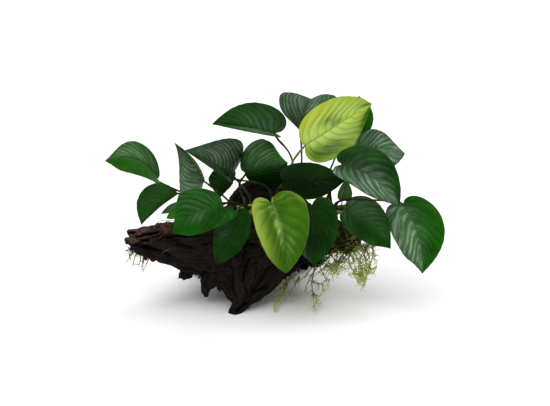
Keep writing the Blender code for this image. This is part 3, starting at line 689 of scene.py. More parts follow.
def hand_over(piece, slot, *nodes):
    """Brings a finished piece from the layout's millimetres to its real place, in metres."""
    piece.data.transform(Matrix.Scale(MM, 4) @ Matrix.Translation(-MIDDLE))
    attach(piece, "root")
    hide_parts(*nodes)
    return piece


# Colours of spoilt and yellowed leaf, of the painted shade on leaves and on stalks, of wood and of roots
SPOILT_BROWN = (0.085, 0.03, 0.012)
YELLOWED = (0.4, 0.42, 0.016)
PAINTED_SHADE_GREEN = (0.0015, 0.008, 0.001)
PAINTED_SHADE_STALK = (0.0016, 0.0022, 0.0008)
WOOD_BLACK = (0.0012, 0.0009, 0.0008)
WOOD_BROWN = (0.015, 0.0105, 0.0086)
# A painted glint: light fibres that stand in for highlights on the wet wood
WOOD_PAINTED_GLINT = (0.045, 0.036, 0.031)
WOOD_RUST = (0.014, 0.005, 0.004)
# Painted shade in the wood's cracks
CRACK_SHADE = (0.0008, 0.0006, 0.0006)
PLANK_DARK = (0.024, 0.012, 0.01)
PLANK_PALE = (0.115, 0.06, 0.049)
MOSS_GREEN = (0.028, 0.045, 0.006)
ROOT_DARK = (0.036, 0.038, 0.006)
ROOT_PALE = (0.43, 0.5, 0.08)
# The two colours of each stalk skin, and its roughness
STALK_COLOURS = {
    "stalk": ((0.014, 0.017, 0.003), (0.062, 0.066, 0.011), 0.38),
    "stalk_lime": ((0.1, 0.15, 0.018), (0.2, 0.27, 0.04), 0.38),
    "rhizome": ((0.06, 0.08, 0.01), (0.24, 0.32, 0.034), 0.45),
}
# How much paler roots are low down, and far out: from one height or place to another, in metres, and by
# how much at each
LOW_ROOTS, OUTER_ROOTS = (0.062, 0.022, -0.12, 0.14), (0.054, 0.07, 0, 0.16)

# Leaf colours: shade (the darker of the cloudy greens), body, lit (a paler green, also painted on as a
# highlight on the lit side of each pleat), silvery (the painted sheen), in the furrows (painted shade in the
# vein creases) and on the midrib, then how much of their colour the painted highlights on the pleats and the
# painted shade in the furrows take
LEAF_COLOURS = {
    "dark": ((0.003, 0.026, 0.0016), (0.009, 0.054, 0.0048), (0.038, 0.125, 0.024), (0.21, 0.3, 0.22),
             (0.003, 0.017, 0.0022), (0.032, 0.08, 0.02), 0.07, 0.2),
    "green": ((0.0045, 0.05, 0.0012), (0.0085, 0.088, 0.002), (0.048, 0.19, 0.014), (0.25, 0.37, 0.24),
              (0.006, 0.036, 0.0026), (0.04, 0.12, 0.018), 0.06, 0.2),
    "lime": ((0.022, 0.088, 0.002), (0.036, 0.122, 0.004), (0.47, 0.625, 0.08), (0.4, 0.56, 0.18),
             (0.02, 0.082, 0.002), (0.16, 0.25, 0.1), 0.03, 0.42),
}

# Masks on a blade, in shares of its half width, of its length or of the step between veins: where each
# begins and where it is full
MIDRIB_MASK, MIDRIB_END = (0.07, 0.012), (0.9, 0.5)
VEIN_MASK, VEIN_FADE = (0.32, 0.5), (0.99, 0.6)
MARGIN_MASK = (0.965, 0.995)
# The bars are the lit side of each pleat, where a highlight is painted
BAR_RISE, BAR_FALL = (0.06, 0.3), (0.72, 0.36)
FINE_MASK = (0.5, 0.28)
STREAKS_SCALE = (5, 1.3)
CHANCE_SCALE, CHANCE_MASK = (0.9, 1.1), (0.36, 0.62)
NET_SCALE, NET_MASK = 620, (0, 0.3)
EDGE_SHARE = 0.5
# Painted sheen of the pleats and the streaks, which also sets the coat's gloss, how the finest veins break
# it, and how much the lit pleats take off the painted shade
LEAST_BAR, BAR_SHEEN_AND_GLOSS, BAR_SHADE = 0.3, 0.75, 0.12
STREAK_SHEEN_AND_GLOSS, THREAD_SHEEN_AND_GLOSS = (0.38, 0.7, 0.15, 0.6), (0.72, 1.05)

# Noise masks: the noise's scale and detail, the values that the mask rises between, its least and its most
NOISE_MASKS = {
    "cloud": (55, 3, 0.35, 0.68, 0, 1),
    "broken": (130, 4, 0.36, 0.62, 0.6, 1),
    "speckle": (900, 2, 0.3, 0.62, 0, 0.5),
    "spoilt": (420, 3, 0.25, 0.5, 0, 1),
    "wear": (160, 4, 0.3, 0.75, 0.31, 0.5),
    "mottle": (240, 4, 0.36, 0.66, 0, 1),
    "rust": (38, 3, 0.55, 0.75, 0, 0.35),
    "moss": (260, 4, 0.42, 0.62, 0, 1),
}
# Roughness and gloss of the skins
LEAF_FINISH = (0.36, 0.025)
LEAF_COAT = 0.3
COAT_ROUGHNESS = 0.22
STALK_GLOSS = 0.1
WOOD_FINISH = (0.62, 0.04)
ROOT_FINISH = (0.55, 0.08)
# The wood's grain: the noise's scale, detail and roughness
WOOD_FIBRES = (9, 5, 0.62)
WOOD_STRANDS = (3.2, 4, 0.6)
# Masks on the wood: the values that they rise between, and for some their least and their most
# The fibres' lightening of the ridges is partly the wood's colour and partly a painted highlight
FIBRE_LIGHT, RAISED_MASK, PAINTED_GLINT_MASK = 1.3, (0.85, 1.45), (0.6, 0.74, 0, 0.5)
PLANK_MASK, WORN_MASK, CRACK_SHADE_MASK = (0.35, 0.65), (0.15, 0.55), (0.02, 0.26)
WOOD_WEAR = (0.3, 0.7, 0.48, 0.8)
# The roots' mottling and the finest grain of stalks and roots
ROOT_MOTTLE, ROOT_MASK = 130, (0.38, 0.58)
STALK_GRAIN, ROOT_GRAIN = (900, 3), (1400, 2)
# Bumps: their shares of a leaf's masks and of the wood's grain, and the height in metres and the strength
# of each
LEAF_HEIGHTS = {"Fine": 0.55, "Net": 0.3, "Streaks": 0.9}
STRAND_HEIGHT, FIBRE_HEIGHT = 0.9, 0.6
LEAF_BUMP, STALK_BUMP = (0.00035, 0.8), (0.00025, 0.6)
WOOD_BUMP, ROOT_BUMP = (0.0016, 0.9), (0.0002, 0.6)


def add_node(tree, kind, **settings):
    node = tree.nodes.new(kind)
    for key, value in settings.items():
        setattr(node, key, value)
    return node


def feed(tree, socket, value):
    """Links an output to an input, or sets the input's own value."""
    if isinstance(value, bpy.types.NodeSocket):
        tree.links.new(value, socket)
    elif isinstance(value, tuple) and len(value) == 3 and socket.type == "RGBA":
        socket.default_value = (*value, 1)
    else:
        socket.default_value = value


def feed_all(tree, sockets, **values):
    """Feeds sockets by their labels, with low lines for the blanks."""
    for label, value in values.items():
        feed(tree, sockets[label.replace("_", " ")], value)


def calculate(tree, operation, *values):
    node = add_node(tree, "ShaderNodeMath", operation=operation)
    for socket, value in zip(node.inputs, values):
        feed(tree, socket, value)
    return node.outputs[0]


def times(tree, first, *others):
    for other in others:
        first = calculate(tree, "MULTIPLY", first, other)
    return first


def plus(tree, first, *others):
    for other in others:
        first = calculate(tree, "ADD", first, other)
    return first


def between(tree, value, low, high, to_low=0, to_high=1):
    """A value's place from low to high, eased, as a mask."""
    node = add_node(tree, "ShaderNodeMapRange", interpolation_type="SMOOTHSTEP")
    for socket, given in zip(node.inputs, (value, low, high, to_low, to_high)):
        feed(tree, socket, given)
    return node.outputs["Result"]


def blend(tree, first, second, share):
    node = add_node(tree, "ShaderNodeMix", data_type="RGBA")
    feed(tree, node.inputs["Factor"], share)
    colours = [socket for socket in node.inputs if socket.type == "RGBA"]
    feed(tree, colours[0], first)
    feed(tree, colours[1], second)
    return [socket for socket in node.outputs if socket.type == "RGBA"][0]


def lay_over(tree, colour, *layers):
    """A colour with others laid over it in turn, each where its own mask lets it."""
    for other, share in layers:
        colour = blend(tree, colour, other, share)
    return colour


def noise_value(tree, where, scale, detail=3, roughness=0.55):
    node = add_node(tree, "ShaderNodeTexNoise")
    feed_all(tree, node.inputs, Vector=where, Scale=scale, Detail=detail, Roughness=roughness)
    return node.outputs["Fac"]


def noise_mask(tree, where, name, most=1):
    scale, detail, low, high, to_low, to_high = NOISE_MASKS[name]
    return between(tree, noise_value(tree, where, scale, detail), low, high, to_low, to_high * most)


def painted(tree, name, output="Fac"):
    """What a piece's mesh keeps under a name for each vertex."""
    return add_node(tree, "ShaderNodeAttribute", attribute_name=name).outputs[output]


def object_place(tree):
    return add_node(tree, "ShaderNodeTexCoord").outputs["Object"]


def separated(tree, vector):
    node = add_node(tree, "ShaderNodeSeparateXYZ")
    feed(tree, node.inputs[0], vector)
    return node.outputs


def flat_place(tree, x, y, scales):
    node = add_node(tree, "ShaderNodeCombineXYZ")
    feed_all(tree, node.inputs, X=times(tree, x, scales[0]), Y=times(tree, y, scales[1]))
    return node.outputs[0]


def new_material(name, roughness, gloss=0.5):
    made = bpy.data.materials.new(name)
    made.use_nodes = True
    tree = made.node_tree
    shader = tree.nodes["Principled BSDF"]
    feed_all(tree, shader.inputs, Roughness=roughness, Coat_Roughness=COAT_ROUGHNESS,
             Specular_IOR_Level=gloss)
    return made, tree, shader.inputs


def bump(tree, sockets, height, distance, strength):
    node = add_node(tree, "ShaderNodeBump")
    feed_all(tree, node.inputs, Strength=strength, Distance=distance, Height=height)
    tree.links.new(node.outputs["Normal"], sockets["Normal"])


def new_group(name, inputs, outputs):
    """A shader node group with vector inputs and float outputs."""
    group = bpy.data.node_groups.new(name, "ShaderNodeTree")
    for label in inputs:
        group.interface.new_socket(label, in_out="INPUT", socket_type="NodeSocketVector")
    for label in outputs:
        group.interface.new_socket(label, in_out="OUTPUT", socket_type="NodeSocketFloat")
    return group, group.nodes.new("NodeGroupInput").outputs, group.nodes.new("NodeGroupOutput").inputs


def off_vein(tree, count):
    """How far a place lies from midway between two veins, from 0 to 0.5, by its count of veins."""
    return calculate(tree, "ABSOLUTE", calculate(tree, "SUBTRACT", calculate(tree, "FRACT", count), 0.5))


def vein_group():
    """Masks for a blade's midrib, side veins, margin and the lit side of its pleats, where a highlight is
    painted, and the heights of its finest veins.
    """
    group, given, wanted = new_group("leaf_veins", ["Place", "Where"], [
        "Midrib", "Veins", "Margin", "Bars", "Fine", "Streaks", "Net", "Chance"])
    side, along, count = separated(group, given["Place"])
    across = calculate(group, "ABSOLUTE", side)
    step = calculate(group, "FRACT", count)
    lengthwise = flat_place(group, count, across, STREAKS_SCALE)
    uneven = flat_place(group, count, side, CHANCE_SCALE)
    cells = add_node(group, "ShaderNodeTexVoronoi", feature="DISTANCE_TO_EDGE")
    feed_all(group, cells.inputs, Vector=given["Where"], Scale=NET_SCALE)
    feed_all(
        group, wanted,
        Midrib=times(group, between(group, across, *MIDRIB_MASK), between(group, along, *MIDRIB_END)),
        Veins=times(group, between(group, off_vein(group, count), *VEIN_MASK),
                    between(group, across, *VEIN_FADE)),
        Margin=between(group, across, *MARGIN_MASK),
        Bars=times(group, between(group, step, *BAR_RISE), between(group, step, *BAR_FALL)),
        Fine=between(group, off_vein(group, times(group, count, FINE_VEINS)), *FINE_MASK),
        Streaks=noise_value(group, lengthwise, 1),
        Net=between(group, cells.outputs["Distance"], *NET_MASK),
        Chance=between(group, noise_value(group, uneven, 1, 1), *CHANCE_MASK))
    return group


def leaf_material(name, veins, shade, body, bright, painted_sheen, crease_shade, rib, pleats, crease_shade_share):
    """Waxy leaf skin: cloudy green with painted highlights on the lit side of its pleats and painted shade in
    its vein furrows, paler in some patches, a painted silvery sheen in others, painted shade in others,
    spoilt in small spots.
    """
    made, tree, sockets = new_material(name, *LEAF_FINISH)
    where = object_place(tree)
    group = add_node(tree, "ShaderNodeGroup", node_tree=veins)
    feed_all(tree, group.inputs, Place=painted(tree, "leaf_place", "Vector"), Where=where)
    masks = group.outputs
    painted_pleat_highlight = times(tree, masks["Bars"], between(tree, masks["Chance"], 0, 1, LEAST_BAR, 1))
    lit = plus(tree, times(tree, painted_pleat_highlight, BAR_SHEEN_AND_GLOSS), between(tree, masks["Streaks"], *STREAK_SHEEN_AND_GLOSS))
    threads = between(tree, masks["Fine"], 0, 1, *THREAD_SHEEN_AND_GLOSS)
    broken = times(tree, noise_mask(tree, where, "broken"), threads)
    # Painted sheen: the silvery colour laid on as a reflected highlight where the patches, pleats and streaks
    # meet; it also sets the coat's gloss
    painted_sheen_and_coat = times(tree, lit, painted(tree, "painted_sheen"), broken)
    dim = calculate(tree, "SUBTRACT", 1, times(tree, masks["Bars"], BAR_SHADE))
    colour = lay_over(
        tree, blend(tree, shade, body, noise_mask(tree, where, "cloud")),
        (bright, painted(tree, "tone")),
        (YELLOWED, painted(tree, "yellow")),
        # painted highlight on the lit side of each pleat
        (bright, times(tree, painted_pleat_highlight, pleats)),
        # painted shade in the vein furrows
        (crease_shade, times(tree, masks["Veins"], crease_shade_share)),
        (painted_sheen, painted_sheen_and_coat),
        (bright, noise_mask(tree, where, "speckle", pleats)),
        (rib, times(tree, masks["Margin"], EDGE_SHARE)),
        (rib, times(tree, masks["Midrib"], EDGE_SHARE)),
        # painted shade, lighter where the pleats are lit
        (PAINTED_SHADE_GREEN, times(tree, painted(tree, "painted_shade"), dim)),
        (SPOILT_BROWN, times(tree, painted(tree, "spoilt"), noise_mask(tree, where, "spoilt"))))
    feed_all(tree, sockets, Base_Color=colour, Coat_Weight=times(tree, painted_sheen_and_coat, LEAF_COAT),
             Roughness=noise_mask(tree, where, "wear"))
    height = plus(tree, *(times(tree, masks[label], share) for label, share in LEAF_HEIGHTS.items()))
    bump(tree, sockets, height, *LEAF_BUMP)
    return made


def stalk_material(name, body, light, roughness):
    """Smooth stalk skin with fine lengthwise mottling, and painted shade that darkens it toward the rhizome.
    """
    made, tree, sockets = new_material(name, roughness, STALK_GLOSS)
    where = object_place(tree)
    mottled = blend(tree, body, light, noise_mask(tree, where, "mottle"))
    feed(tree, sockets["Base Color"], blend(tree, mottled, PAINTED_SHADE_STALK, painted(tree, "painted_shade")))
    bump(tree, sockets, noise_value(tree, where, *STALK_GRAIN), *STALK_BUMP)
    return made


def wood_material():
    """Waterlogged wood: nearly black, brown on its ridges and fibres, partly its own colour and partly a
    painted highlight, with painted glints on light fibres and painted shade in its cracks, red-brown where
    the bark has worn off.
    """
    made, tree, sockets = new_material("driftwood", *WOOD_FINISH)
    where = object_place(tree)
    grain = painted(tree, "grain", "Vector")
    fibres = noise_value(tree, grain, *WOOD_FIBRES)
    strands = noise_value(tree, grain, *WOOD_STRANDS)
    ridge = painted(tree, "ridge")
    raised = between(tree, plus(tree, ridge, times(tree, fibres, FIBRE_LIGHT)), *RAISED_MASK)
    plank = blend(tree, PLANK_DARK, PLANK_PALE, between(tree, fibres, *PLANK_MASK))
    colour = lay_over(
        # brown on the ridges and fibres: the wood's colour and a painted highlight
        tree, blend(tree, WOOD_BLACK, WOOD_BROWN, raised),
        # painted glints on light fibres
        (WOOD_PAINTED_GLINT, between(tree, fibres, *PAINTED_GLINT_MASK)),
        (WOOD_RUST, noise_mask(tree, where, "rust")),
        (plank, times(tree, painted(tree, "worn"), between(tree, ridge, *WORN_MASK))),
        (MOSS_GREEN, times(tree, painted(tree, "mossy"), noise_mask(tree, where, "moss"))))
    # painted shade in the cracks, where the ridge is low
    feed_all(tree, sockets, Base_Color=blend(tree, CRACK_SHADE, colour, between(tree, ridge, *CRACK_SHADE_MASK)),
             Roughness=between(tree, strands, *WOOD_WEAR))
    height = plus(tree, times(tree, strands, STRAND_HEIGHT), times(tree, fibres, FIBRE_HEIGHT))
    bump(tree, sockets, height, *WOOD_BUMP)
    return made


def root_material():
    """Young root skin, from brown-green on the stout roots to yellow-green at the low and outer tips."""
    made, tree, sockets = new_material("root", *ROOT_FINISH)
    where = object_place(tree)
    across, _, up = separated(tree, where)
    young = plus(tree, between(tree, up, *LOW_ROOTS), between(tree, across, *OUTER_ROOTS))
    pale = between(tree, plus(tree, noise_value(tree, where, ROOT_MOTTLE), young), *ROOT_MASK)
    slender = calculate(tree, "SUBTRACT", 1, painted(tree, "stout"))
    feed(tree, sockets["Base Color"], blend(tree, ROOT_DARK, ROOT_PALE, times(tree, pale, slender)))
    bump(tree, sockets, noise_value(tree, where, *ROOT_GRAIN), *ROOT_BUMP)
    return made


VEINS = vein_group()
LEAF_SKINS = {tint: leaf_material(f"leaf_{tint}", VEINS, *row) for tint, row in LEAF_COLOURS.items()}
STALK_SKINS = {name: stalk_material(name, *row) for name, row in STALK_COLOURS.items()}
WOOD_SKIN = wood_material()
ROOT_SKIN = root_material()


def bezier(points, t):
    a, b, c, d = (np.array(p)[:, None] for p in points)
    return (1 - t) ** 3 * a + 3 * (1 - t) ** 2 * t * b + 3 * (1 - t) * t**2 * c + t**3 * d


def margin(t, lobe, widest, full):
    """The leaf's edge, from beside the stalk round the lobe to the tip, for t from 0 to 1."""
    back, out, aside = NOTCH_HANDLE
    beside_stalk = (STALK_SIDE[0] * max(lobe, LEAST_NOTCH), STALK_SIDE[1])
    lobe_part = bezier([beside_stalk, (back * lobe + out, aside), (LOBE_HANDLE * lobe, 1), (widest, 1)],
                       np.clip(t / LOBE_SHARE, 0, 1))
    tip_part = bezier([(widest, 1), (widest + full, 1), (TIP_HANDLE[0] + full, TIP_HANDLE[1]), (1, 0)],
                      np.clip((t - LOBE_SHARE) / (1 - LOBE_SHARE), 0, 1))
    return np.where(t < LOBE_SHARE, lobe_part, tip_part)


def leaf_frame(leaf):
    """Where a leaf's base is, the way to its tip and the way that its face looks."""
    base, tip = place(*leaf["base"]), place(*leaf["tip"])
    axis = (tip - base).normalized()
    facing = toward_viewer()
    facing = (facing - axis * facing.dot(axis)).normalized()
    turn = math.radians(leaf["turn"])
    return base, axis, facing * math.cos(turn) + axis.cross(facing) * math.sin(turn)


def past_lobes(t):
    """A place's share of the blade past its lobes."""
    return np.clip((t - LOBE_ROWS_END) / (1 - LOBE_ROWS_END), 0, 1)


def leaf_surface(leaf, u, t):
    """Places on a leaf. u is -1 to 1 from its left to its right edge, t is 0 at the base, 1 at the tip."""
    base, axis, normal = leaf_frame(leaf)
    reach = (place(*leaf["tip"]) - base).length
    right = u > 0
    outlines = zip(leaf["lobes"], leaf["widest"], leaf["full"])
    edge = np.where(right, *(margin(t, *outline) for outline in outlines))
    rib = past_lobes(t) ** RIB_SPACING
    spread = np.abs(u)
    along = rib + (edge[0] - rib) * spread**ROW_BOW
    across = edge[1] * spread * np.where(right, *leaf["halves"])
    fold = np.radians(np.where(right, *leaf["folds"]))
    sideways = np.where(right, 1, -1) * across * np.cos(fold)
    raised = across * np.sin(fold)

    bend = math.radians(leaf["bend"])
    length = reach * bend / (2 * math.sin(bend / 2))
    slope = bend / 2 - bend * along
    forward = length * (math.sin(bend / 2) - np.sin(slope)) / bend - raised * np.sin(slope)
    lifted = length * (np.cos(slope) - math.cos(bend / 2)) / bend + raised * np.cos(slope)
    sideways = sideways + 4 * along * (1 - along) * leaf["sweep"] * length
    axes = np.array([axis, axis.cross(normal), normal])
    return np.array(base) + np.stack([forward, sideways, lifted], axis=-1) @ axes


def patches(table, name, u, t):
    """The strength of a leaf's patches at each place, from 0 to 1."""
    total = np.zeros(len(u))
    for across, along, size, amount in table.get(name, []):
        total += amount * np.exp(-((u - across) ** 2 + (PATCH_LENGTH * (t - along)) ** 2) / size**2)
    return np.clip(total, 0, 1)


def vein_phase(name, u, t, seed):
    """Rises by one from each side vein to the next, as they leave the midrib and curve toward the tip."""
    in_lobe = np.clip((LOBE_ROWS_END - t) / LOBE_ROWS_END, 0, 1)
    curve = SWEEPS.get(name, VEIN_SWEEP) * np.abs(u) ** VEIN_CURVE * ease(t, *SWEEP_START)
    uneven = UNEVEN_ALONG * np.sin(2 * math.pi * (WAVES_ALONG * t + WAVE_SHIFT * seed))
    uneven = uneven + UNEVEN_ACROSS * np.sin(WAVES_ACROSS * np.abs(u) + seed)
    count = VEIN_COUNT * (past_lobes(t) ** VEIN_SPACING - curve + uneven)
    return count - LOBE_VEINS * in_lobe + OUT_OF_STEP * np.sign(u) + FIRST_VEIN


def leaf_relief(name, leaf, u, t, phase, seed):
    """How far a blade's upper face stands off its plain surface: quilting, midrib groove and wavy margin."""
    spread = np.abs(u)
    half_width = np.where(u > 0, *leaf["halves"])
    size = np.clip(half_width / FULL_HALF_WIDTH, *SIZE_LIMITS)
    reach = ease(spread, *PLEAT_SPREAD) * (1 - PLEAT_EDGE_LOSS * ease(spread, *PLEAT_EDGE))
    reach = reach * swell(t, PLEAT_BASE, PLEAT_TIP)
    evenly, by_chance = PLEAT_STRENGTH
    strength = evenly + by_chance * noise_over(seed, np.floor(phase) + 0.5, np.sign(u) * PLEAT_SHIFT, 0)
    evenly, by_chance = PLEAT_AREAS
    area = noise_over(seed + 3, u * AREA_NOISE[0] + AREA_SHIFT, t * AREA_NOISE[1], 0)
    area = np.clip(evenly + by_chance * area, *PLEAT_AREA_LIMITS)
    pleats = PLEAT_DEPTH * DEEP_PLEATS.get(name, 1) * strength * np.sin(math.pi * phase) ** 2 * reach * area
    groove = np.exp(-((spread * half_width / MIDRIB_WIDTH) ** 2))
    groove = MIDRIB_DEPTH * groove * swell(t, GROOVE_BASE, GROOVE_TIP)
    wave = noise_over(seed + 1, np.sign(u) * MARGIN_SHIFT, t * MARGIN_NOISE, 0)
    wave = MARGIN_WAVE * spread**MARGIN_POWER * wave
    broad = BROAD_WAVE * noise_over(seed + 2, u * BROAD_NOISE[0], t * BROAD_NOISE[1], 0)
    waves = (wave * ease(t, *WAVE_BASE) + broad * ease(t, *BROAD_BASE)) * (1 - t**4)
    return size * (pleats - groove + waves)


def draw_out(mesh, across, up, reach):
    """Pulls a blade's rightmost place into a point."""
    points = coordinates(mesh)
    far = np.linalg.norm(points - points[points[:, 0].argmax()], axis=1)
    way = np.array((across, up * SINE, up * COSINE))
    set_coordinates(mesh, points + np.exp(-far / reach)[:, None] * way)


def leaf_blade(name, leaf, seed):
    """A blade of even thickness, with the places and the patches that its material reads."""
    bpy.ops.object.select_all(action="DESELECT")
    fineness = 2 if max(leaf["halves"]) < SMALL_HALF_WIDTH else 1
    bpy.ops.mesh.primitive_grid_add(x_subdivisions=BLADE_COLUMNS // fineness,
                                    y_subdivisions=BLADE_ROWS // fineness, size=1)
    blade = bpy.context.object
    mesh = blade.data
    flat = coordinates(mesh)
    u = np.sign(flat[:, 0]) * np.abs(2 * flat[:, 0]) ** COLUMN_SPACING
    t = flat[:, 1] + 0.5
    phase = vein_phase(name, u, t, seed)
    notches = NOTCH_DEPTH * noise_over(seed, np.sign(u) * MARGIN_SHIFT, t * NOTCH_NOISE, 0)
    notches = (SCALLOP_DEPTH * np.sin(2 * math.pi * phase) + notches) * np.abs(u) ** 4
    notches = notches * swell(t, NOTCH_BASE, NOTCH_TIP)
    set_coordinates(mesh, leaf_surface(leaf, u * (1 + notches), t))
    relief = leaf_relief(name, leaf, u, t, phase, seed)
    set_coordinates(mesh, coordinates(mesh) + outward(mesh) * relief[:, None])
    if name in DRAWN_LOBES:
        draw_out(mesh, *DRAWN_LOBES[name])
    paint(mesh, "leaf_place", np.stack([u, t, phase], 1))
    for layer, table in LEAF_LAYERS.items():
        paint(mesh, layer, patches(table, name, u, t))
    edit_all(blade, merging(BLADE_WELD))
    apply_modifier(blade, "SOLIDIFY", thickness=BLADE_THICKNESS, offset=0)
    finish(blade, LEAF_SKINS[leaf["tint"]])
    return blade


def rib_route(name, leaf, seed):
    """The way of the midrib, sunk under the blade with the blade's own relief, and its radii."""
    _, _, normal = leaf_frame(leaf)
    share, middle = np.linspace(*RIB_RUN, RIB_STEPS), np.zeros(RIB_STEPS)
    relief = leaf_relief(name, leaf, middle, share, vein_phase(name, middle, share, seed), seed)
    radii = np.linspace(*RIB_RADII, RIB_STEPS)
    lows = relief - BLADE_THICKNESS / 2 - RIB_SINK * radii
    rib = [Vector(where) + normal * low for where, low in zip(leaf_surface(leaf, middle, share), lows)]
    return rib, radii, relief[0]


def stalk_route(name, leaf, seed):
    """The way of a stalk from inside the rhizome to the blade, and on under the blade's midrib."""
    base, axis, normal = leaf_frame(leaf)
    droop = math.radians(max(0, -min(leaf["folds"])))
    rib, rib_radii, first_relief = rib_route(name, leaf, seed)
    under = (STALK_NECK_RADIUS + BLADE_THICKNESS / 2) / math.cos(droop)
    end = base + normal * (min(first_relief, 0) - under)
    if not leaf["stalk"]:
        return [end - axis * NECK_LENGTH, end, *rib], [YOUNG_STALK_RADIUS] * (len(rib) + 2)
    across, angle = leaf["start"]
    root = min(path_through(RHIZOME, STALK_STEPS), key=lambda where: abs(where.x - across))
    way_out = Vector((0, -math.sin(math.radians(angle)), math.cos(math.radians(angle))))
    start = root + way_out * RHIZOME_RADIUS * RHIZOME_ROOT
    first = root + way_out * (RHIZOME_RADIUS + STALK_FIRST_RUN)
    passed = [place(*spot) for spot in reversed(leaf["stalk"])]
    way_back = (passed[-1] - end).normalized()
    neck = end + (way_back * NECK_SHARE - axis * (1 - NECK_SHARE) - normal * NECK_DROP) * NECK_LENGTH
    route = np.array(smooth_path([start, first, *passed, neck, end], STALK_STEPS))
    for _ in range(STALK_EASING):
        route[1:-1] = (route[:-2] + 2 * route[1:-1] + route[2:]) / 4
    path = [Vector(where) for where in route]
    runs = [0]
    for a, b in zip(path, path[1:]):
        runs.append(runs[-1] + (b - a).length)
    radii = []
    for run in runs:
        radius = STALK_RADIUS + (STALK_NECK_RADIUS - STALK_RADIUS) * run / runs[-1]
        radius += (STALK_SHEATH_RADIUS - STALK_RADIUS) * math.exp(-(run / SHEATH_LENGTH) ** 2)
        from_swelling = (runs[-1] - run - NECK_SWELLING_PLACE) / NECK_SWELLING_LENGTH
        radii.append(radius + NECK_SWELLING * math.exp(-from_swelling**2))
    return [*path, *rib], [*radii, *rib_radii]


def make_leaf(name, leaf, seed):
    blade = leaf_blade(name, leaf, seed)
    path, radii = stalk_route(name, leaf, seed)
    skin = STALK_SKINS["stalk_lime" if leaf["tint"] == "lime" else "stalk"]
    stalk = tubes(f"{name}_stalk", [(path, radii)], STALK_SIDES, skin)
    from_root = np.linalg.norm(coordinates(stalk.data) - np.array(path[0]), axis=1)
    # Painted shade that darkens the stalk toward the rhizome
    shade = STALK_SHADE * (1 - ease(from_root, *STALK_SHADE_RUN))
    paint(stalk.data, "painted_shade", shade if leaf["stalk"] else 0 * from_root)
    piece = joined([blade, stalk], f"{name}_leaf")
    nodes = [f"leaf_{name}"] + ([f"stalk_{name}"] if leaf["stalk"] else [])
    return hand_over(piece, f"leaf_{leaf['tint']}", *nodes)


def make_rhizome():
    """The creeping stem with the ringed scars of old leaves."""
    path = path_through(RHIZOME, RHIZOME_STEPS)
    count = len(path) - 1
    radii = []
    for i in range(count + 1):
        share = i / count
        taper = max(0, share - RHIZOME_TAPER_START) / (1 - RHIZOME_TAPER_START)
        radius = RHIZOME_RADIUS + (RHIZOME_TIP_RADIUS - RHIZOME_RADIUS) * taper
        ring = abs(math.sin(math.pi * share * SCARS)) ** SCAR_WIDTH
        rounded_end = math.sqrt(min(1, RHIZOME_END + min(i, count - i) / RHIZOME_END_STEPS))
        radii.append(radius * (SCAR_RADII[0] + SCAR_RADII[1] * ring) * rounded_end)
    piece = tubes("rhizome_stem", [(path, radii)], RHIZOME_SIDES, STALK_SKINS["rhizome"])
    return hand_over(piece, "rhizome", "rhizome")


def limb_grain(points):
    """For each limb, how near each point is to it and where the point lies in the limb's grain."""
    for limb in LIMBS.values():
        near_all = np.zeros(len(points))
        grain = np.zeros((len(points), 3))
        side = None
        run_up = 0
        for a, b in zip(limb, limb[1:]):
            start, end = np.array(a[:3], float), np.array(b[:3], float)
            length = np.linalg.norm(end - start)
            way = (end - start) / length
            side = np.cross(way, (0, 0, 1)) if side is None else side - way * (side @ way)
            side = side / np.linalg.norm(side)
            share = np.clip((points - start) @ way / length, 0, 1)
            off = points - start - share[:, None] * (end - start)
            radius = a[3] + (b[3] - a[3]) * share
            near = 1 / (BLEND_CORE + (np.linalg.norm(off, axis=1) / radius) ** BLEND_POWER)
            lying = np.stack([off @ side / GRAIN_WIDTH, off @ np.cross(way, side) / GRAIN_WIDTH,
                              (run_up + share * length) / GRAIN_LENGTH], 1)
            grain += near[:, None] * lying
            near_all += near
            run_up += length
        yield near_all, grain / near_all[:, None]


def wood_relief(grain, seed):
    """Ridges, splits and fibres along the grain, in millimetres, and how high each place is from 0 to 1."""
    shifted = grain + seed * LIMB_SHIFT
    broad = soft_noise(shifted, seed)
    ridges = 1 - 2 * np.abs(soft_noise(shifted * RIDGE_FINENESS, seed + 1))
    fibres = soft_noise(shifted * FIBRE_FINENESS, seed + 2)
    split = 1 - ease(np.abs(soft_noise(shifted * SPLIT_FINENESS + 5, seed + 3)), 0, SPLIT_WIDTH)
    height = BROAD_RELIEF * broad + RIDGE_RELIEF * ridges + FIBRE_RELIEF * fibres - SPLIT_RELIEF * split
    return height, np.clip(0.5 + RIDGE_SHARE * height, 0, 1)


def run_on(limb):
    """A limb's rows, with one more below each end that stands on the floor, so that the foot is cut whole."""
    rows = [np.array(row, float) for row in limb]
    for end, inner, spot in ((rows[0], rows[1], 0), (rows[-1], rows[-2], len(rows))):
        if end[2] < 0:
            way = (end - inner)[:3]
            rows.insert(spot, np.append(end[:3] + way * FOOT_RUN / np.linalg.norm(way), end[3]))
    return rows


def near_line(across, up, line):
    """How near each seen place is to a line's middle, from 0 at its edges to 1."""
    nearest = np.zeros(len(across))
    for (x0, y0, wide0), (x1, y1, wide1) in zip(line, line[1:]):
        run, rise = x1 - x0, y1 - y0
        share = np.clip(((across - x0) * run + (up - y0) * rise) / (run**2 + rise**2), 0, 1)
        far = np.hypot(across - x0 - share * run, up - y0 - share * rise) / (wide0 + share * (wide1 - wide0))
        nearest = np.maximum(nearest, 1 - ease(far, SPLIT_FLOOR, 1))
    return nearest


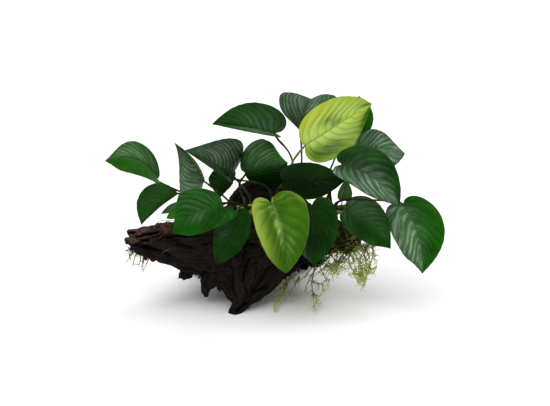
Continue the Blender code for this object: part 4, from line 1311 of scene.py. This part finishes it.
def grown_limbs():
    """The limbs as tubes, grown together into one even skin."""
    limbs = []
    for name, limb in LIMBS.items():
        limb = run_on(FINE_LIMBS.get(name, limb))
        path = smooth_path([Vector(row[:3]) for row in limb], LIMB_STEPS)
        # The second coordinate keeps rows of equal thickness apart, so that their curve has a length
        sizes = [Vector((row[3], LIMB_ROW_STEP * step, 0)) for step, row in enumerate(limb)]
        sizes = smooth_path(sizes, LIMB_STEPS)
        radii = [max(size.x, LIMB_TIP) for size in sizes]
        limbs.append(tubes(name, [(path, radii)], LIMB_SIDES, WOOD_SKIN))
    wood = joined(limbs, "driftwood_piece")
    apply_modifier(wood, "REMESH", mode="VOXEL", voxel_size=WOOD_VOXEL)
    return wood


def blended_grain(points):
    """Each point's height over the plain skin, how high that is from 0 to 1, and its place in the grain."""
    height, ridge, weight, nearest = (np.zeros(len(points)) for _ in range(4))
    grain = np.zeros((len(points), 3))
    for index, (near, lying) in enumerate(limb_grain(points)):
        lift, raised = wood_relief(lying, index)
        height += near * lift
        ridge += near * raised
        weight += near
        closer = near > nearest
        grain[closer] = lying[closer] + index * GRAIN_SHIFT
        nearest = np.maximum(near, nearest)
    return height / weight, ridge / weight, grain


def make_driftwood():
    """The limbs grown together into one skin, grained along each limb and cut flat under the feet."""
    wood = grown_limbs()
    mesh = wood.data
    points, normals = coordinates(mesh), outward(mesh)
    height, ridge, grain = blended_grain(points)
    down = ease(-normals[:, 2], *KNOT_SLOPE)
    knots = KNOT * np.clip(soft_noise(points / KNOT_LENGTH, KNOT_SEED) - KNOT_LEVEL, 0, 1) * down
    knots = knots + RIPPLE * soft_noise(points / RIPPLE_LENGTH, RIPPLE_SEED)
    knots = knots * (1 - ease(points[:, 0], *KNOTS_END))
    thick = THIN_RELIEF + (1 - THIN_RELIEF) * (1 - ease(-points[:, 0], *THIN_END))
    across, level = seen(points)
    facing = ease(normals @ np.array(toward_viewer()), *SPLIT_SLOPE)
    worked = facing * sum(raised * near_line(across, level, line) for raised, line in SPLITS)
    set_coordinates(mesh, points + normals * ((height + knots) * thick + worked)[:, None])
    moved, up = coordinates(mesh), outward(mesh)[:, 2]
    above = level - np.interp(across, *zip(*WORN_EDGE))
    from_moss = np.linalg.norm(moved - np.array(place(*MOSS_SPOT)), axis=1)
    paint(mesh, "grain", grain)
    paint(mesh, "ridge", np.clip(ridge + SPLIT_SHADE * worked, 0, 1))
    paint(mesh, "worn", ease(-moved[:, 0], *WORN_START) * ease(up, *WORN_SLOPE) * ease(above, *WORN_FADE))
    mossy = MOSSINESS * ease(moved[:, 0], *MOSS_START)
    paint(mesh, "mossy", np.maximum(mossy, 1 - ease(from_moss, *MOSS_SIZE)))
    floor_cut = dict(plane_co=(0, 0, 0), plane_no=(0, 0, 1), use_fill=True, clear_inner=True)
    edit_all(wood, (bpy.ops.mesh.bisect, floor_cut))
    finish(wood, WOOD_SKIN)
    parts = ("trunk", "left_limb", "right_limb", "front_foot", "rear_left_foot", "rear_right_foot")
    return hand_over(wood, "driftwood", *(f"driftwood_{part}" for part in parts))


def hair(start, way, reach, curl, chance):
    """The places of one fine root, which curls and hangs as it grows."""
    where, way = np.array(start, float), np.array(way, float)
    swing, turns = chance.uniform(0, 2 * math.pi, 3), chance.uniform(*HAIR_TURNS, 3)
    route = [where]
    for step in range(max(HAIR_LEAST_STEPS, int(reach / HAIR_STEP))):
        way = way + np.sin(swing + turns * step) * curl + chance.normal(0, curl * HAIR_WANDER, 3) + HAIR_SAG
        way = way / np.linalg.norm(way)
        where = where + way * HAIR_STEP
        where[2] = max(where[2], FLOOR_GAP)
        route.append(where)
    return np.array(route)


def lie_on(wood, line):
    """The places on the wood's front that are seen along a line."""
    path = []
    for across, up, _ in smooth_path([Vector((*spot, 0)) for spot in line], CLING_STEPS):
        start, end = ((place(across, up, depth) - MIDDLE) * MM for depth in SIGHT_REACH)
        hit, where, _, _ = wood.ray_cast(start, (end - start).normalized())
        if hit:
            path.append(where / MM + MIDDLE)
    return np.array(path)


def tuft_routes(strands, strays, growth, chance):
    """A tuft's strands, slightly crooked, and the fine roots that leave them."""
    hairs, reaches, way, curl, on_runner = growth
    guides = [path_through(strand, ROOT_STEPS) for strand in strands]
    routes = []
    for guide in guides:
        path = np.array(guide) + np.cumsum(chance.normal(0, ROOT_CROOK, (len(guide), 3)), axis=0)
        path[:, 2] = np.maximum(path[:, 2], FLOOR_GAP)
        routes.append((path, np.linspace(*ROOT_RADII, len(path)) * chance.uniform(*ROOT_THICKNESS)))
    for strand in strays:
        path = path_through(strand, ROOT_STEPS)
        routes.append((np.array(path), [HAIR_RADII[0]] * len(path)))
    for _ in range(hairs):
        guide = guides[0] if chance.random() < on_runner else guides[chance.integers(0, len(guides))]
        start = guide[chance.integers(0, len(guide))] + Vector(chance.normal(0, HAIR_START_SPREAD, 3))
        way_off = np.array(way) + chance.normal(0, HAIR_WAY_SPREAD, 3)
        path = hair(start, way_off, chance.uniform(*reaches), curl, chance)
        thick = chance.uniform(*HAIR_RADII)
        routes.append((path, np.linspace(thick, thick * HAIR_TAPER, len(path))))
    return routes


def stoutness(points, paths):
    """How near each point is to a main root, most so where the root sets out."""
    stout = np.zeros(len(points))
    for path in paths:
        for spot, share in zip(path, np.linspace(*STOUT_SHARES, len(path))):
            far = np.linalg.norm(points - spot, axis=1)
            stout = np.maximum(stout, share * (1 - ease(far, *STOUT_REACH)))
    return stout


def make_roots(wood):
    chance = np.random.default_rng(ROOT_SEED)
    for name, strands in ROOTS.items():
        clinging = [lie_on(wood, line) for line in CLINGING.get(name, [])]
        routes = tuft_routes(strands, STRAYS.get(name, []), TUFTS[name], chance)
        main = [path for path, _ in routes[:len(strands)]]
        routes += [(path, np.linspace(*CLING_RADII, len(path))) for path in clinging]
        piece = tubes(f"{name}_fine", routes, 0, ROOT_SKIN)
        paint(piece.data, "stout", stoutness(coordinates(piece.data), main + clinging))
        hand_over(piece, "root", name)


def add_floor():
    bpy.ops.object.select_all(action="DESELECT")
    bpy.ops.mesh.primitive_plane_add(size=FLOOR_SIZE)
    floor = bpy.context.object
    floor.name = "floor"
    made, tree, sockets = new_material("floor_paint", FLOOR_ROUGHNESS)
    feed(tree, sockets["Base Color"], FLOOR_WHITE)
    floor.data.materials.append(made)


def add_lights(target):
    """The studio's lights, all turned to the target."""
    for name, (kind, where, power, settings) in LIGHTS.items():
        bpy.ops.object.light_add(type=kind, location=where)
        light = bpy.context.object
        light.name = name
        light.rotation_euler = (target - Vector(where)).to_track_quat("-Z", "Y").to_euler()
        light.data.energy = power
        for key, value in settings.items():
            setattr(light.data, key, value)


def set_stage():
    """The photograph's view, a pale floor and soft studio light."""
    target = (Vector((0, 0, SIGHT_HEIGHT)) - MIDDLE) * MM
    bpy.ops.object.camera_add(location=target + toward_viewer() * SIGHT_DISTANCE * MM)
    camera = bpy.context.object
    camera.rotation_euler = (-toward_viewer()).to_track_quat("-Z", "Y").to_euler()
    camera.data.sensor_width = SENSOR
    camera.data.lens = SENSOR * SIGHT_DISTANCE / (PHOTO_WIDTH * PIXEL)
    bpy.context.scene.camera = camera
    add_floor()
    add_lights(target)
    world = bpy.data.worlds.new("studio")
    world.use_nodes = True
    tree = world.node_tree
    feed_all(tree, tree.nodes["Background"].inputs, Color=(1, 1, 1), Strength=ROOM_LIGHT)
    bpy.context.scene.world = world
    bpy.context.scene.view_settings.view_transform = "Standard"


set_stage()
for number, (leaf_name, leaf_form) in enumerate(LEAVES.items()):
    make_leaf(leaf_name, leaf_form, LEAF_SEED_STEP * number)
make_rhizome()
make_roots(make_driftwood())
